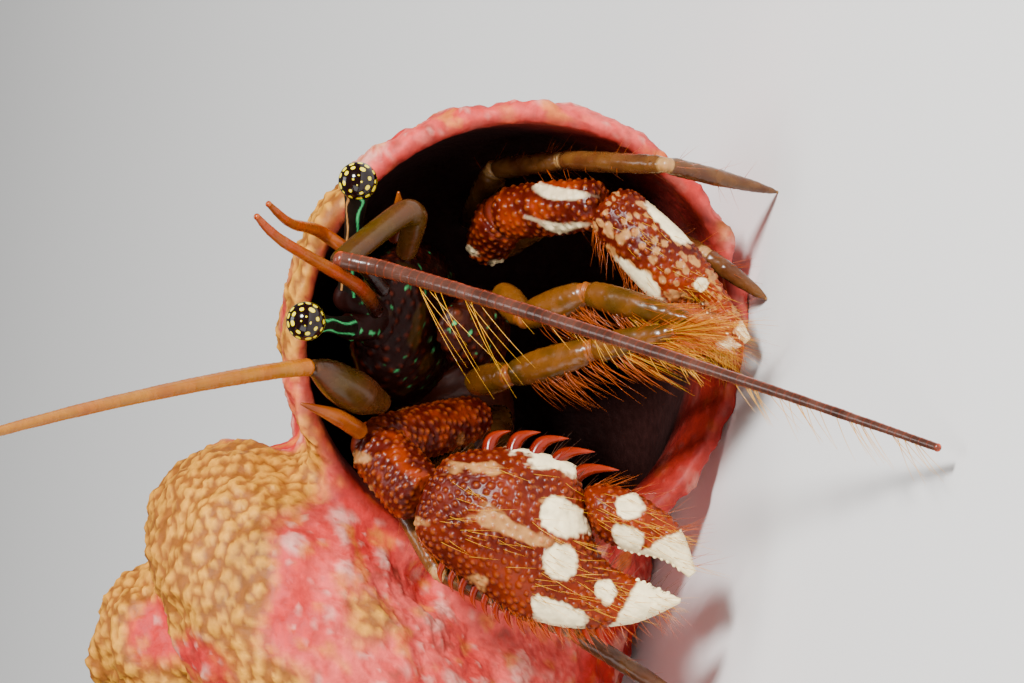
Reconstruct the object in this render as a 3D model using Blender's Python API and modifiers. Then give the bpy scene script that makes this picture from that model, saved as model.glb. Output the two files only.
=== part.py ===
"""Right-handed hermit crab looking out of a borrowed turban shell.

Still, life-size display model.  The crab faces -Y, its own left is +X, and the
shell and the tips of three walking legs stand on the plane z = 0; the third right leg
is held up inside the mouth.  Every named part of the body is its own closed solid.
Lengths below are millimetres.
"""
import math

import bmesh
import bpy
from mathutils import Matrix, Vector

MM = 0.001                      # one millimetre in metres
GAP = 0.05                      # half of the clear space left at each joint

# ---- shell: a right-handed turban whorl --------------------------------------
MOUTH = Vector((0.1, 4.5, 8.3))                 # middle of the aperture
SPIRE = Vector((-0.36, 0.38, 0.90)).normalized()    # the coiling axis, to the apex
FACING = Vector((-0.1, -1.0, -0.1))             # roughly where the aperture looks
WHORL_GROWTH = 2.5              # size ratio over one whole turn
COIL_RADIUS = 8.6               # coiling axis to the middle of the mouth
COIL_RISE = 20.0                # mouth to apex along the axis
WHORL_RADIUS = 8.7              # outside radius of the whorl at the mouth
WALL = 0.8
TURNS = 2.9
CAVITY_TURN = 2.25              # radians of the whorl left open behind the mouth
SEAM_START, SEAM_RADIUS = 0.08, 1.7     # radians behind the mouth, and mm at the mouth
PLUG_SHARES, PLUG_RADIUS = (0.86, 0.80, 0.65, 0.50, 0.35), 3.0
SHELL_VOXEL = 0.85
SHELL_KEEP = 0.30               # share of the faces kept after decimating
HOLLOW_START = -0.25            # radians, in front of the mouth so the cut is open

# ---- trunk: stations (distance back, half width, half height, height of centre) --
TILT = math.radians(14.0)       # the trunk slopes down to the back
MIDLINE = 0.15
TRUNK_LEVEL = 9.8
CARAPACE = ((3.9, 1.10, 0.75, 4.95), (4.6, 2.15, 1.25, 4.55), (6.0, 2.70, 1.75, 4.20),
            (8.0, 2.95, 2.00, 4.05), (10.5, 3.05, 2.05, 3.90), (12.4, 2.60, 1.80, 3.75),
            (13.2, 1.75, 1.25, 3.65))
MOUTHPARTS = ((4.9, 0.85, 0.70, 2.05), (5.6, 1.35, 0.95, 1.60), (7.2, 1.55, 1.00, 1.15),
              (9.2, 1.45, 0.90, 0.95), (10.4, 0.85, 0.55, 0.90))
ABDOMEN = ((0.15, 13.86, 10.10), (0.05, 14.90, 9.82), (-0.8, 15.6, 9.3),
           (-2.6, 15.8, 8.3), (-4.9, 15.5, 7.6), (-7.2, 15.0, 7.3), (-9.3, 14.4, 7.3))
ABDOMEN_RADII = (1.4, 2.1, 2.5, 2.7, 2.4, 1.8, 1.0)

# ---- head ----------------------------------------------------------------------
CORNEA = 0.69
EYE_FLAT = 0.60                 # where the ball ends behind, as a share of its radius
STALK_LENGTH = 4.8              # root to the middle of the cornea, the same on both sides
STALK_RADII = (0.42, 0.30, 0.38, 0.48)
STALK_SHARES = (0.0, 0.45, 0.85, 1.0)
EYES = {                        # root, and the way that the stalk points
    "left": ((0.75, 4.35, 14.95), (0.85, -0.50, 0.15)),
    "right": ((-0.3, 4.3, 14.75), (0.0, -0.85, 0.50))}
ANTENNULES = {
    "left": (((1.2, 3.4, 13.9), (2.2, 2.6, 15.3), (2.9, 2.4, 16.7),
              (3.0, -0.7, 18.4), (3.5, -2.1, 19.5)),
             (0.27, 0.27, 0.27, 0.26, 0.25)),
    "right": (((0.4, 3.6, 14.0), (1.2, 1.9, 15.2), (2.3, -1.6, 18.7),
               (3.0, -2.9, 20.0)), (0.27, 0.27, 0.26, 0.25))}
PEDUNCLES = {
    "left": (((2.7, 4.1, 13.1), (3.6, 3.1, 13.2), (4.0, 2.6, 13.4),
              (3.8, 2.3, 14.0), (2.1, 1.7, 15.8), (1.8, 1.6, 16.1)),
             (0.38, 0.44, 0.47, 0.46, 0.42, 0.25)),
    "right": (((-2.8, 4.3, 13.3), (-2.6, 3.3, 14.3), (-2.3, 2.5, 15.2),
               (-2.0, 1.9, 15.9), (-1.9, 1.6, 16.3)),
              (0.45, 0.74, 0.70, 0.52, 0.34))}
# root, length, degrees turned from straight ahead to the crab's right, and the
# pitch in degrees at the root, just past the bend at the root, and at the tip
FLAGELLA = {
    "left": ((2.0, 0.9, 16.1), 27.0, 9.0, (-80.0, -39.0, -27.0)),
    "right": ((-1.9, 1.3, 16.7), 20.0, 23.0, (64.0, 57.0, 45.0))}
FLAGELLUM_BEND = 1.2            # how soon the bend at the root dies away
FLAGELLUM_STEP = 2.0
FLAGELLUM_RADII = (0.34, 0.25)  # past the root, and at the tip
ACICLES = {
    "left": (((3.2, 5.0, 13.4), (3.9, 4.4, 13.5), (4.7, 3.6, 13.8)),
             (0.30, 0.36, 0.25)),
    "right": (((-3.9, 3.7, 14.0), (-3.5, 2.7, 15.1), (-3.2, 1.7, 16.6)),
              (0.32, 0.36, 0.25))}

# ---- jointed limbs: joints, and one (half width, half depth) pair per joint ------
LEG_PARTS = ("merus", "carpus", "propodus", "dactyl")
LEG_SIZES = ((0.36, 0.55), (0.40, 0.52), (0.37, 0.46), (0.33, 0.38), (0.27, 0.27))
MAXILLIPED_PARTS = ("merus", "carpus", "dactyl")
MAXILLIPED_SIZES = ((0.42, 0.42), (0.47, 0.44), (0.47, 0.42), (0.27, 0.26))
LIMBS = {
    "maxilliped_left": (
        MAXILLIPED_PARTS,
        ((1.8, 5.4, 9.2), (0.9, 3.9, 8.5), (2.1, 2.2, 6.8), (1.6, -0.8, 3.5)),
        MAXILLIPED_SIZES),
    "maxilliped_right": (
        MAXILLIPED_PARTS,
        ((-1.7, 5.7, 9.7), (-1.2, 3.6, 8.8), (0.1, 1.4, 6.5), (1.2, -0.8, 4.1)),
        MAXILLIPED_SIZES),
    "walking_leg_2_left": (
        LEG_PARTS,
        ((4.1, 10.9, 9.3), (6.2, 8.1, 9.3), (6.8, 5.8, 7.4), (7.0, 1.2, 4.8),
         (6.7, 3.0, 0.0)), LEG_SIZES),
    "walking_leg_2_right": (
        LEG_PARTS,
        ((-4.0, 9.9, 8.6), (-6.1, 4.8, 11.9), (-8.5, 2.6, 10.6), (-10.0, 2.5, 5.5),
         (-12.5, 1.5, 0.0)), LEG_SIZES),
    "walking_leg_3_left": (
        LEG_PARTS,
        ((3.1, 12.0, 8.0), (5.0, 9.5, 6.2), (5.0, 7.2, 4.0), (4.1, 3.6, 2.2),
         (2.8, 2.5, 0.0)), LEG_SIZES),
    "walking_leg_3_right": (
        LEG_PARTS,
        ((-2.6, 11.9, 7.0), (-4.6, 9.0, 7.4), (-5.9, 7.6, 6.8), (-6.1, 6.3, 5.3),
         (-5.8, 5.2, 4.1)), LEG_SIZES),
    "large_arm": (
        ("merus", "carpus"),
        ((-2.9, 8.2, 8.6), (-4.4, 4.9, 13.1), (-6.0, 2.4, 11.7)),
        ((0.80, 0.85), (1.00, 1.05), (1.10, 0.98))),
    "small_arm": (
        ("merus", "carpus"),
        ((3.1, 9.3, 9.0), (4.6, 7.3, 9.0), (5.4, 4.0, 6.2)),
        ((0.70, 0.75), (0.95, 0.95), (0.90, 0.78))),
}

# ---- claws: (along, across) of the two margins, then front and back half depth ---
# A claw is a smooth curve through these rows.  Across is towards the crab's midline
# on the large claw and away from it on the small one.
LARGE_CLAW = (Vector((-6.7, 2.2, 11.7)), Vector((-0.18, -0.35, -0.92)),
              Vector((1.0, 0.0, -0.2)))
LARGE_PALM = (
    (0.0, 1.7, 0.0, -0.3, 0.7, 0.6), (0.5, 2.6, 0.5, -0.9, 1.1, 0.9),
    (2.5, 3.5, 2.3, -1.5, 1.6, 1.1), (4.5, 3.6, 4.3, -2.1, 1.5, 1.1),
    (5.0, 3.1, 5.0, -2.1, 1.4, 1.0), (6.1, 1.3, 6.1, -2.0, 1.0, 0.8),
    (7.0, 0.6, 7.0, -1.7, 0.8, 0.7), (8.6, 0.4, 8.5, -1.0, 0.5, 0.4),
    (9.7, 0.3, 9.7, 0.1, 0.2, 0.1))
LARGE_FINGER = (
    (5.3, 2.9, 6.1, 1.6, 0.6, 0.5), (5.7, 3.2, 6.4, 1.4, 0.9, 0.7),
    (7.0, 3.3, 7.4, 1.3, 0.9, 0.7), (8.8, 2.7, 8.7, 1.4, 0.6, 0.5),
    (9.9, 1.4, 9.7, 1.1, 0.2, 0.1))
# spines: how many, then base and tip (along, across) of the first and the last one
MARGIN_SPINES = (5, ((1.8, 2.9), (2.1, 3.7)), ((4.7, 3.0), (6.0, 3.7)), 0.28)
OUTER_SPINES = (10, ((1.4, -1.1), (1.3, -1.8)), ((7.2, -1.4), (7.7, -2.0)), 0.19)
MARGIN_SWELL = 0.45             # how far the middle spines stand out past that line
OUTER_SWELL = 0.65
SMALL_CLAW = (Vector((5.4, 4.0, 6.1)), Vector((-0.6, -0.35, -0.7)),
              Vector((0.8, -0.15, -0.6)))
SMALL_PALM = (
    (0.1, 0.8, 0.1, -0.7, 0.6, 0.5), (0.6, 1.1, 0.6, -1.0, 0.8, 0.7),
    (2.5, 1.3, 2.5, -1.2, 1.0, 0.8), (4.0, 1.2, 3.9, -1.1, 0.9, 0.7),
    (4.6, 1.1, 4.6, -0.4, 0.8, 0.6), (5.0, 1.0, 5.0, 0.0, 0.6, 0.5),
    (6.6, 0.6, 6.6, 0.1, 0.3, 0.3), (7.2, 0.4, 7.2, 0.1, 0.2, 0.1))
SMALL_FINGER = (
    (4.9, -0.2, 4.3, -1.0, 0.4, 0.4), (5.4, -0.1, 4.9, -1.1, 0.5, 0.4),
    (6.7, -0.1, 6.6, -0.8, 0.4, 0.3), (7.2, 0.0, 7.1, -0.3, 0.2, 0.1))
CLAW_STEPS = 14                 # stations of a palm
FINGER_STEPS = 8

COLOURS = {
    "shell": ((0.62, 0.27, 0.26), 0.75), "carapace": ((0.16, 0.03, 0.015), 0.45),
    "abdomen": ((0.35, 0.16, 0.10), 0.6), "mouthparts": ((0.12, 0.03, 0.015), 0.45),
    "eyestalk": ((0.03, 0.05, 0.035), 0.25), "eye": ((0.006, 0.006, 0.008), 0.08),
    "antennule": ((0.55, 0.22, 0.06), 0.35), "antenna": ((0.36, 0.22, 0.08), 0.35),
    "acicle": ((0.50, 0.16, 0.05), 0.4), "maxilliped": ((0.42, 0.26, 0.10), 0.35),
    "walking": ((0.48, 0.33, 0.20), 0.4), "large": ((0.36, 0.045, 0.018), 0.35),
    "small": ((0.40, 0.055, 0.025), 0.38)}

SIDES = 10                      # points round a limb


# ---- small helpers -------------------------------------------------------------
def clear_scene():
    for item in list(bpy.data.objects):
        bpy.data.objects.remove(item, do_unlink=True)


def new_collection(name):
    made = bpy.data.collections.new(name)
    bpy.context.scene.collection.children.link(made)
    return made


def material_for(name):
    key = name.split("_")[0]
    colour, rough = COLOURS[key]
    made = bpy.data.materials.new(name)
    made.use_nodes = True
    shader = made.node_tree.nodes["Principled BSDF"]
    shader.inputs["Base Color"].default_value = (*colour, 1.0)
    shader.inputs["Roughness"].default_value = rough
    shader.inputs["Metallic"].default_value = 0.0
    return made


def finish_object(name, body, place, cutter=False):
    bmesh.ops.recalc_face_normals(body, faces=body.faces)
    mesh = bpy.data.meshes.new(name)
    body.to_mesh(mesh)
    body.free()
    made = bpy.data.objects.new(name, mesh)
    place.objects.link(made)
    if cutter:
        made.display_type = "WIRE"
        made.hide_render = True
    else:
        mesh.materials.append(material_for(name))
    return made


def loft(name, rings, place):
    """A closed solid through unlike rings of equal length, capped at both ends."""
    body = bmesh.new()
    rows = [[body.verts.new(point * MM) for point in ring] for ring in rings]
    count = len(rows[0])
    for low, high in zip(rows, rows[1:]):
        for i in range(count):
            j = (i + 1) % count
            body.faces.new((low[i], low[j], high[j], high[i]))
    body.faces.new(rows[0])
    body.faces.new(rows[-1])
    return finish_object(name, body, place)


def add_boolean(target, other, operation):
    step = target.modifiers.new(operation.title(), "BOOLEAN")
    step.operation = operation
    step.solver = "EXACT"
    step.object = other


def side_frame(along, hint):
    side = (hint - along * hint.dot(along)).normalized()
    return side, along.cross(side).normalized()


def smooth_rows(rows, count):
    """The rows of a smooth curve that passes through the given ones."""
    made = []
    for i in range(count):
        where = (len(rows) - 1) * i / (count - 1)
        k = min(int(where), len(rows) - 2)
        t = where - k
        four = [rows[min(max(k + step, 0), len(rows) - 1)] for step in (-1, 0, 1, 2)]
        made.append(tuple(
            b + 0.5 * t * (c - a + t * (2 * a - 5 * b + 4 * c - d + t * (3 * b - a - 3 * c + d)))
            for a, b, c, d in zip(*four)))
    return made


def claw_frame(claw):
    origin, along, across = claw
    along = along.normalized()
    return origin, along, side_frame(along, across)[0]


def turned(vector, old, new):
    return old.rotation_difference(new) @ vector


# ---- solids ----------------------------------------------------------------------
def limb_segment(name, start, end, size0, size1, planes, frame, place, bulge, slim):
    """An oval tube whose ends lie on the two given planes (point, normal)."""
    along = (end - start).normalized()
    side, up = frame
    stations = ((0.0, slim[0]), (0.12, 1.0), (0.45, bulge), (0.86, 1.02), (1.0, slim[1]))
    rings = []
    for share, swell in stations:
        ring = []
        for i in range(SIDES):
            turn = 2.0 * math.pi * i / SIDES
            ends = []
            for (point, normal), size, trim in ((planes[0], size0, slim[0]),
                                                (planes[1], size1, slim[1])):
                offset = (side * (math.cos(turn) * size[0])
                          + up * (math.sin(turn) * size[1])) * trim
                origin = start + offset
                ends.append((point - origin).dot(normal) / along.dot(normal))
            reach = ends[0] * (1.0 - share) + ends[1] * share
            wide = size0[0] * (1.0 - share) + size1[0] * share
            deep = size0[1] * (1.0 - share) + size1[1] * share
            ring.append(start + along * reach
                        + (side * (math.cos(turn) * wide)
                           + up * (math.sin(turn) * deep)) * swell)
        rings.append(ring)
    return loft(name, rings, place)


def limb(stem, names, joints, sizes, hint, last_plane=None):
    joints = [Vector(p) for p in joints]
    ways = [(b - a).normalized() for a, b in zip(joints, joints[1:])]
    side, up = side_frame(ways[0], Vector(hint))
    made = []
    for i, name in enumerate(names):
        if i:
            side = turned(side, ways[i - 1], ways[i])
            up = turned(up, ways[i - 1], ways[i])
        first = (ways[i] + ways[i - 1]).normalized() if i else ways[0]
        if i + 1 < len(ways):
            last = (ways[i] + ways[i + 1]).normalized()
            planes_end = (joints[i + 1] - last * GAP, last)
        elif last_plane:
            planes_end = last_plane
        else:
            planes_end = (joints[i + 1], ways[i])
        planes = ((joints[i] + first * GAP, first), planes_end)
        foot = i == len(names) - 1 and last_plane
        made.append(limb_segment(stem + "_" + name, joints[i], joints[i + 1], sizes[i],
                                 sizes[i + 1], planes, (side, up), crab, 1.05,
                                 (0.84, 1.0 if foot else 0.86)))
    return made


def tube(name, points, radii, place, fineness=2, cutter=False):
    """A round tube: a curve with a bevel and filled caps, made into a closed mesh."""
    line = bpy.data.curves.new(name + "_line", "CURVE")
    line.dimensions = "3D"
    line.bevel_depth = MM
    line.bevel_resolution = fineness
    line.use_fill_caps = True
    spline = line.splines.new("POLY")
    spline.points.add(len(points) - 1)
    for knot, point, radius in zip(spline.points, points, radii):
        knot.co = (*(Vector(point) * MM), 1.0)
        knot.radius = radius
    holder = bpy.data.objects.new(name + "_line", line)
    place.objects.link(holder)
    graph = bpy.context.evaluated_depsgraph_get()
    mesh = bpy.data.meshes.new_from_object(holder.evaluated_get(graph))
    bpy.data.objects.remove(holder, do_unlink=True)
    bpy.data.curves.remove(line)
    body = bmesh.new()
    body.from_mesh(mesh)
    bmesh.ops.remove_doubles(body, verts=body.verts, dist=1.0e-6)
    return finish_object(name, body, place, cutter)


def flagellum(root, length, heading, pitches):
    """Points and radii of a whip that bends at its root and then eases out."""
    start, middle, end = (math.radians(pitch) for pitch in pitches)
    heading = math.radians(heading)
    count = int(round(length / FLAGELLUM_STEP))
    fine = 10
    point = Vector(root)
    points, radii = [point.copy()], [FLAGELLUM_RADII[1]]
    for i in range(count * fine):
        reach = length * (i + 0.5) / (count * fine)
        pitch = (middle + (end - middle) * reach / length
                 + (start - middle) * math.exp(-reach / FLAGELLUM_BEND))
        level = math.cos(pitch)
        way = Vector((-math.sin(heading) * level, -math.cos(heading) * level,
                      math.sin(pitch)))
        point = point + way * (length / (count * fine))
        if (i + 1) % fine == 0 or i + 1 == fine // 2:
            share = reach / length
            points.append(point.copy())
            radii.append(FLAGELLUM_RADII[0] * (1 - share) + FLAGELLUM_RADII[1] * share)
    return points, radii


def blade(name, stations, origin, along, across, place, sides=12):
    """A claw piece given by its two margins and its front and back half depth."""
    front = along.cross(across).normalized()
    rings = []
    for s_in, w_in, s_out, w_out, deep_front, deep_back in stations:
        inner = origin + along * s_in + across * w_in
        outer = origin + along * s_out + across * w_out
        middle, half = (inner + outer) / 2, (inner - outer) / 2
        ring = []
        for j in range(sides):
            turn = 2.0 * math.pi * j / sides
            deep = deep_front if math.sin(turn) > 0 else deep_back
            ring.append(middle + half * math.cos(turn) + front * (math.sin(turn) * deep))
        rings.append(ring)
    return loft(name, rings, place)


def spine_row(row, swell, lift):
    """Base, tip, radius and lift of each spine of a margin, in equal steps."""
    count, first, last, radius = row
    made = []
    for i in range(count):
        share = i / (count - 1)
        bow = math.sin(math.pi * share) * math.copysign(swell, first[0][1])
        ends = [(a[0] * (1 - share) + b[0] * share,
                 a[1] * (1 - share) + b[1] * share + bow) for a, b in zip(first, last)]
        made.append((*ends, radius, lift))
    return made


def spines(name, rows, origin, along, across):
    """Hooked teeth of one margin: separate cones in one hidden piece."""
    front = along.cross(across).normalized()
    body = bmesh.new()
    for base, tip, radius, lift in rows:
        root = origin + along * base[0] + across * base[1] + front * lift
        point = origin + along * tip[0] + across * tip[1] + front * lift
        way = point - root
        stand = (Matrix.Translation((root + way / 2) * MM)
                 @ Vector((0.0, 0.0, 1.0)).rotation_difference(way).to_matrix().to_4x4())
        bmesh.ops.create_cone(body, cap_ends=True, segments=7, radius1=radius * MM,
                              radius2=0.04 * MM, depth=way.length * MM, matrix=stand)
    return finish_object(name, body, cutters, True)


def ball(name, centre, axis, radius):
    """An eye: a ball with a flat where it meets its stalk."""
    body = bmesh.new()
    stand = (Matrix.Translation(centre * MM)
             @ Vector((0.0, 0.0, 1.0)).rotation_difference(axis).to_matrix().to_4x4())
    bmesh.ops.create_uvsphere(body, u_segments=14, v_segments=10, radius=radius * MM,
                              matrix=stand)
    cut = bmesh.ops.bisect_plane(
        body, geom=body.verts[:] + body.edges[:] + body.faces[:], dist=1.0e-7,
        plane_co=(centre - axis * radius * EYE_FLAT) * MM, plane_no=axis,
        clear_inner=True)
    rim = [item for item in cut["geom_cut"] if isinstance(item, bmesh.types.BMEdge)]
    bmesh.ops.contextual_create(body, geom=rim)
    return finish_object(name, body, crab)


# ---- trunk -------------------------------------------------------------------------
def trunk_point(back, side, height):
    return Vector((side, height * math.sin(TILT) + back * math.cos(TILT),
                   height * math.cos(TILT) - back * math.sin(TILT) + TRUNK_LEVEL))


def trunk_piece(name, stations, sides=14):
    rings = []
    for back, wide, high, level in stations:
        ring = []
        for j in range(sides):
            turn = 2.0 * math.pi * j / sides
            belly = 1.0 if math.sin(turn) > 0 else 0.9
            ring.append(trunk_point(back, MIDLINE + math.cos(turn) * wide,
                                    level + math.sin(turn) * high * belly))
        rings.append(ring)
    return loft(name, rings, crab)


# ---- shell ---------------------------------------------------------------------------
def coil_axes():
    """The whorl's own direction at the mouth, and the way out from the coiling axis."""
    ahead = (FACING - SPIRE * FACING.dot(SPIRE)).normalized()
    opening = math.atan(math.log(WHORL_GROWTH) / (2.0 * math.pi))
    forward = ahead * math.cos(opening) - SPIRE.cross(ahead) * math.sin(opening)
    return forward, SPIRE.cross(forward)


def whorl_centre(angle):
    forward, outward = coil_axes()
    shrink = math.exp(-angle * math.log(WHORL_GROWTH) / (2.0 * math.pi))
    apex = MOUTH - outward * COIL_RADIUS + SPIRE * COIL_RISE
    arm = outward * math.cos(angle) - forward * math.sin(angle)
    return apex + (arm * COIL_RADIUS - SPIRE * COIL_RISE) * shrink, shrink


def whorl(name, start, end, radius, step, fineness, place, cutter, swell=None):
    """The coil as a tube that grows by the same ratio over every turn."""
    points, radii = [], []
    count = int(round((end - start) / step))
    for i in range(count + 1):
        centre, shrink = whorl_centre(start + (end - start) * i / count)
        points.append(centre)
        radii.append(radius * shrink * (swell(i / count) if swell else 1.0))
    return tube(name, points, radii, place, fineness, cutter)


def seam(name, start, end, radius, step, place):
    """The callus that fills the groove between one whorl and the next."""
    points, radii = [], []
    count = int(round((end - start) / step))
    for i in range(count + 1):
        angle = start + (end - start) * i / count
        outer, outer_size = whorl_centre(angle)
        inner, inner_size = whorl_centre(angle + 2.0 * math.pi)
        points.append(outer.lerp(inner, outer_size / (outer_size + inner_size)))
        radii.append(radius * outer_size)
    return tube(name, points, radii, place, 3)


def axis_point(share):
    """On the coiling axis, beside the whorl that has this share of the mouth's size."""
    _, outward = coil_axes()
    return MOUTH - outward * COIL_RADIUS + SPIRE * COIL_RISE * (1.0 - share)


def navel_plug(name, place):
    """The callus that closes the shell's navel, where the whorls turn about the axis."""
    return tube(name, [axis_point(share) for share in PLUG_SHARES],
                [PLUG_RADIUS * share for share in PLUG_SHARES], place, 4)


def join(target, other):
    """Move the other mesh into the target; a remesh then melts the two together."""
    body = bmesh.new()
    body.from_mesh(target.data)
    body.from_mesh(other.data)
    body.to_mesh(target.data)
    body.free()
    bpy.data.objects.remove(other, do_unlink=True)


def rounded_end(share):
    return 1.0 if share < 0.8 else math.sqrt(max(0.02, 1.0 - ((share - 0.8) / 0.2) ** 2))


def build_shell():
    shell = whorl("shell", 0.0, TURNS * 2.0 * math.pi, WHORL_RADIUS, 0.13, 12, crab, False)
    join(shell, seam("shell_seam", SEAM_START, (TURNS - 1.0) * 2.0 * math.pi, SEAM_RADIUS,
                     0.20, crab))
    join(shell, navel_plug("shell_navel", crab))
    melt = shell.modifiers.new("Melt", "REMESH")
    melt.mode = "VOXEL"
    melt.voxel_size = SHELL_VOXEL * MM
    thin = shell.modifiers.new("Thin", "DECIMATE")
    thin.ratio = SHELL_KEEP
    hollow = whorl("shell_hollow", HOLLOW_START, CAVITY_TURN, WHORL_RADIUS - WALL, 0.17, 9,
                   cutters, True, rounded_end)
    add_boolean(shell, hollow, "DIFFERENCE")
    ground = bmesh.new()
    slab = Matrix.Translation((0.0, 0.0, -3.0 * MM)) @ Matrix.Diagonal(
        (60.0 * MM, 60.0 * MM, 6.0 * MM, 1.0))
    bmesh.ops.create_cube(ground, size=1.0, matrix=slab)
    add_boolean(shell, finish_object("shell_ground", ground, cutters, True), "DIFFERENCE")
    return shell


# ---- put the crab together -----------------------------------------------------------
def build_head():
    for side, (root, way) in EYES.items():
        root, axis = Vector(root), Vector(way).normalized()
        centre = root + axis * STALK_LENGTH
        stalk = STALK_LENGTH - CORNEA * EYE_FLAT - 2 * GAP
        tube("eyestalk_" + side, [root + axis * stalk * share for share in STALK_SHARES],
             STALK_RADII, crab)
        ball("eye_" + side, centre, axis, CORNEA)
        tube("antennule_" + side, *ANTENNULES[side], crab)
        tube("antenna_peduncle_" + side, *PEDUNCLES[side], crab, 3)
        tube("antenna_flagellum_" + side, *flagellum(*FLAGELLA[side]), crab)
        tube("acicle_" + side, *ACICLES[side], crab, 1)


def build_limbs():
    ground = (Vector((0.0, 0.0, 0.0)), Vector((0.0, 0.0, 1.0)))
    hint = (1, 0, 0)
    claws = {"large_arm": (LARGE_CLAW, LARGE_PALM), "small_arm": (SMALL_CLAW, SMALL_PALM)}
    for stem, (names, joints, sizes) in LIMBS.items():
        plane = None
        if stem.startswith("walking") and joints[-1][2] == 0.0:
            plane = ground
        elif stem in claws:
            origin, along, _ = claw_frame(claws[stem][0])
            plane = (origin + along * (claws[stem][1][0][0] - 2 * GAP), along)
        limb(stem, names, joints, sizes, hint, plane)


def build_claws():
    frame = claw_frame(LARGE_CLAW)
    palm = blade("large_claw_palm", smooth_rows(LARGE_PALM, CLAW_STEPS), *frame, crab)
    blade("large_claw_finger", smooth_rows(LARGE_FINGER, FINGER_STEPS), *frame, crab)
    rows = spine_row(MARGIN_SPINES, MARGIN_SWELL, 0.15) + spine_row(OUTER_SPINES,
                                                                    OUTER_SWELL, 0.0)
    add_boolean(palm, spines("large_claw_spines", rows, *frame), "UNION")
    frame = claw_frame(SMALL_CLAW)
    blade("small_claw_palm", smooth_rows(SMALL_PALM, CLAW_STEPS), *frame, crab)
    blade("small_claw_finger", smooth_rows(SMALL_FINGER, FINGER_STEPS), *frame, crab)


def centre_on_floor():
    """Put the middle of the footprint on the origin."""
    graph = bpy.context.evaluated_depsgraph_get()
    xs, ys = [], []
    for item in crab.objects:
        mesh = item.evaluated_get(graph).to_mesh()
        xs += [v.co.x for v in mesh.vertices]
        ys += [v.co.y for v in mesh.vertices]
    shift = Vector((-(min(xs) + max(xs)) / 2, -(min(ys) + max(ys)) / 2, 0.0))
    for item in list(crab.objects) + list(cutters.objects):
        for vert in item.data.vertices:
            vert.co += shift


clear_scene()
crab = new_collection("hermit_crab")
cutters = new_collection("cutters")
build_shell()
trunk_piece("carapace", CARAPACE)
trunk_piece("mouthparts", MOUTHPARTS, 12)
tube("abdomen", ABDOMEN, ABDOMEN_RADII, crab, 4)
build_head()
build_limbs()
build_claws()
centre_on_floor()
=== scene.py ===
"""Looks of the hermit crab: dense pieces fitted over the frame's solids.

Lengths are millimetres in the part's design frame.  SHIFT, worked out from the
frame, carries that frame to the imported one.
"""

import math
import random

import bmesh
import bpy
import numpy as np
from mathutils import Matrix, Vector, noise
from mathutils.kdtree import KDTree


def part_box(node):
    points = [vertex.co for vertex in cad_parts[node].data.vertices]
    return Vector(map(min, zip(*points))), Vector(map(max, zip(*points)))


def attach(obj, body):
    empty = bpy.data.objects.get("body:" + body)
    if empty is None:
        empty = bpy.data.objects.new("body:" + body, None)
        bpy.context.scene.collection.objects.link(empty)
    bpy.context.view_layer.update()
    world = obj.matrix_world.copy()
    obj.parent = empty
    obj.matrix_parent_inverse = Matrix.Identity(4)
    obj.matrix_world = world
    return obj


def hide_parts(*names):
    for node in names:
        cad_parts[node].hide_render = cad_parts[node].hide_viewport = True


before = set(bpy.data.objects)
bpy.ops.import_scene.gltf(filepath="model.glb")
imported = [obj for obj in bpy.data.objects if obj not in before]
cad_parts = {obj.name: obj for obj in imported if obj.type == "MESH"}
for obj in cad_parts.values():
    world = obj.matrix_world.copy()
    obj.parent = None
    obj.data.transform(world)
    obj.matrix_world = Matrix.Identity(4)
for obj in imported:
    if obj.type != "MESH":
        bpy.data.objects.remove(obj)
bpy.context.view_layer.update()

MM = 0.001
SEED = 7

# ---- values repeated from the part's source ----
MOUTH = Vector((0.1, 4.5, 8.3))
SPIRE = Vector((-0.36, 0.38, 0.90)).normalized()
FACING = Vector((-0.1, -1.0, -0.1))
WHORL_GROWTH, COIL_RADIUS, COIL_RISE, WHORL_RADIUS = 2.5, 8.6, 20.0, 8.7
WALL, TURNS, HOLLOW_START, CAVITY_TURN = 0.8, 2.9, -0.25, 2.25
SEAM_START, SEAM_RADIUS = 0.08, 1.7
PLUG_SHARES, PLUG_RADIUS = (0.86, 0.80, 0.65, 0.50, 0.35), 3.0
TILT, MIDLINE, TRUNK_LEVEL = math.radians(14.0), 0.15, 9.8
CARAPACE = ((3.9, 1.10, 0.75, 4.95), (4.6, 2.15, 1.25, 4.55), (6.0, 2.70, 1.75, 4.20),
            (8.0, 2.95, 2.00, 4.05), (10.5, 3.05, 2.05, 3.90), (12.4, 2.60, 1.80, 3.75),
            (13.2, 1.75, 1.25, 3.65))
MOUTHPARTS = ((4.9, 0.85, 0.70, 2.05), (5.6, 1.35, 0.95, 1.60), (7.2, 1.55, 1.00, 1.15),
              (9.2, 1.45, 0.90, 0.95), (10.4, 0.85, 0.55, 0.90))
ABDOMEN = ((0.15, 13.86, 10.10), (0.05, 14.90, 9.82), (-0.8, 15.6, 9.3),
           (-2.6, 15.8, 8.3), (-4.9, 15.5, 7.6), (-7.2, 15.0, 7.3), (-9.3, 14.4, 7.3))
ABDOMEN_RADII = (1.4, 2.1, 2.5, 2.7, 2.4, 1.8, 1.0)
CORNEA, EYE_FLAT, STALK_LENGTH = 0.69, 0.60, 4.8
STALK_RADII = (0.42, 0.30, 0.38, 0.48)
EYES = {"left": ((0.75, 4.35, 14.95), (0.85, -0.50, 0.15)),
        "right": ((-0.3, 4.3, 14.75), (0.0, -0.85, 0.50))}
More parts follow.
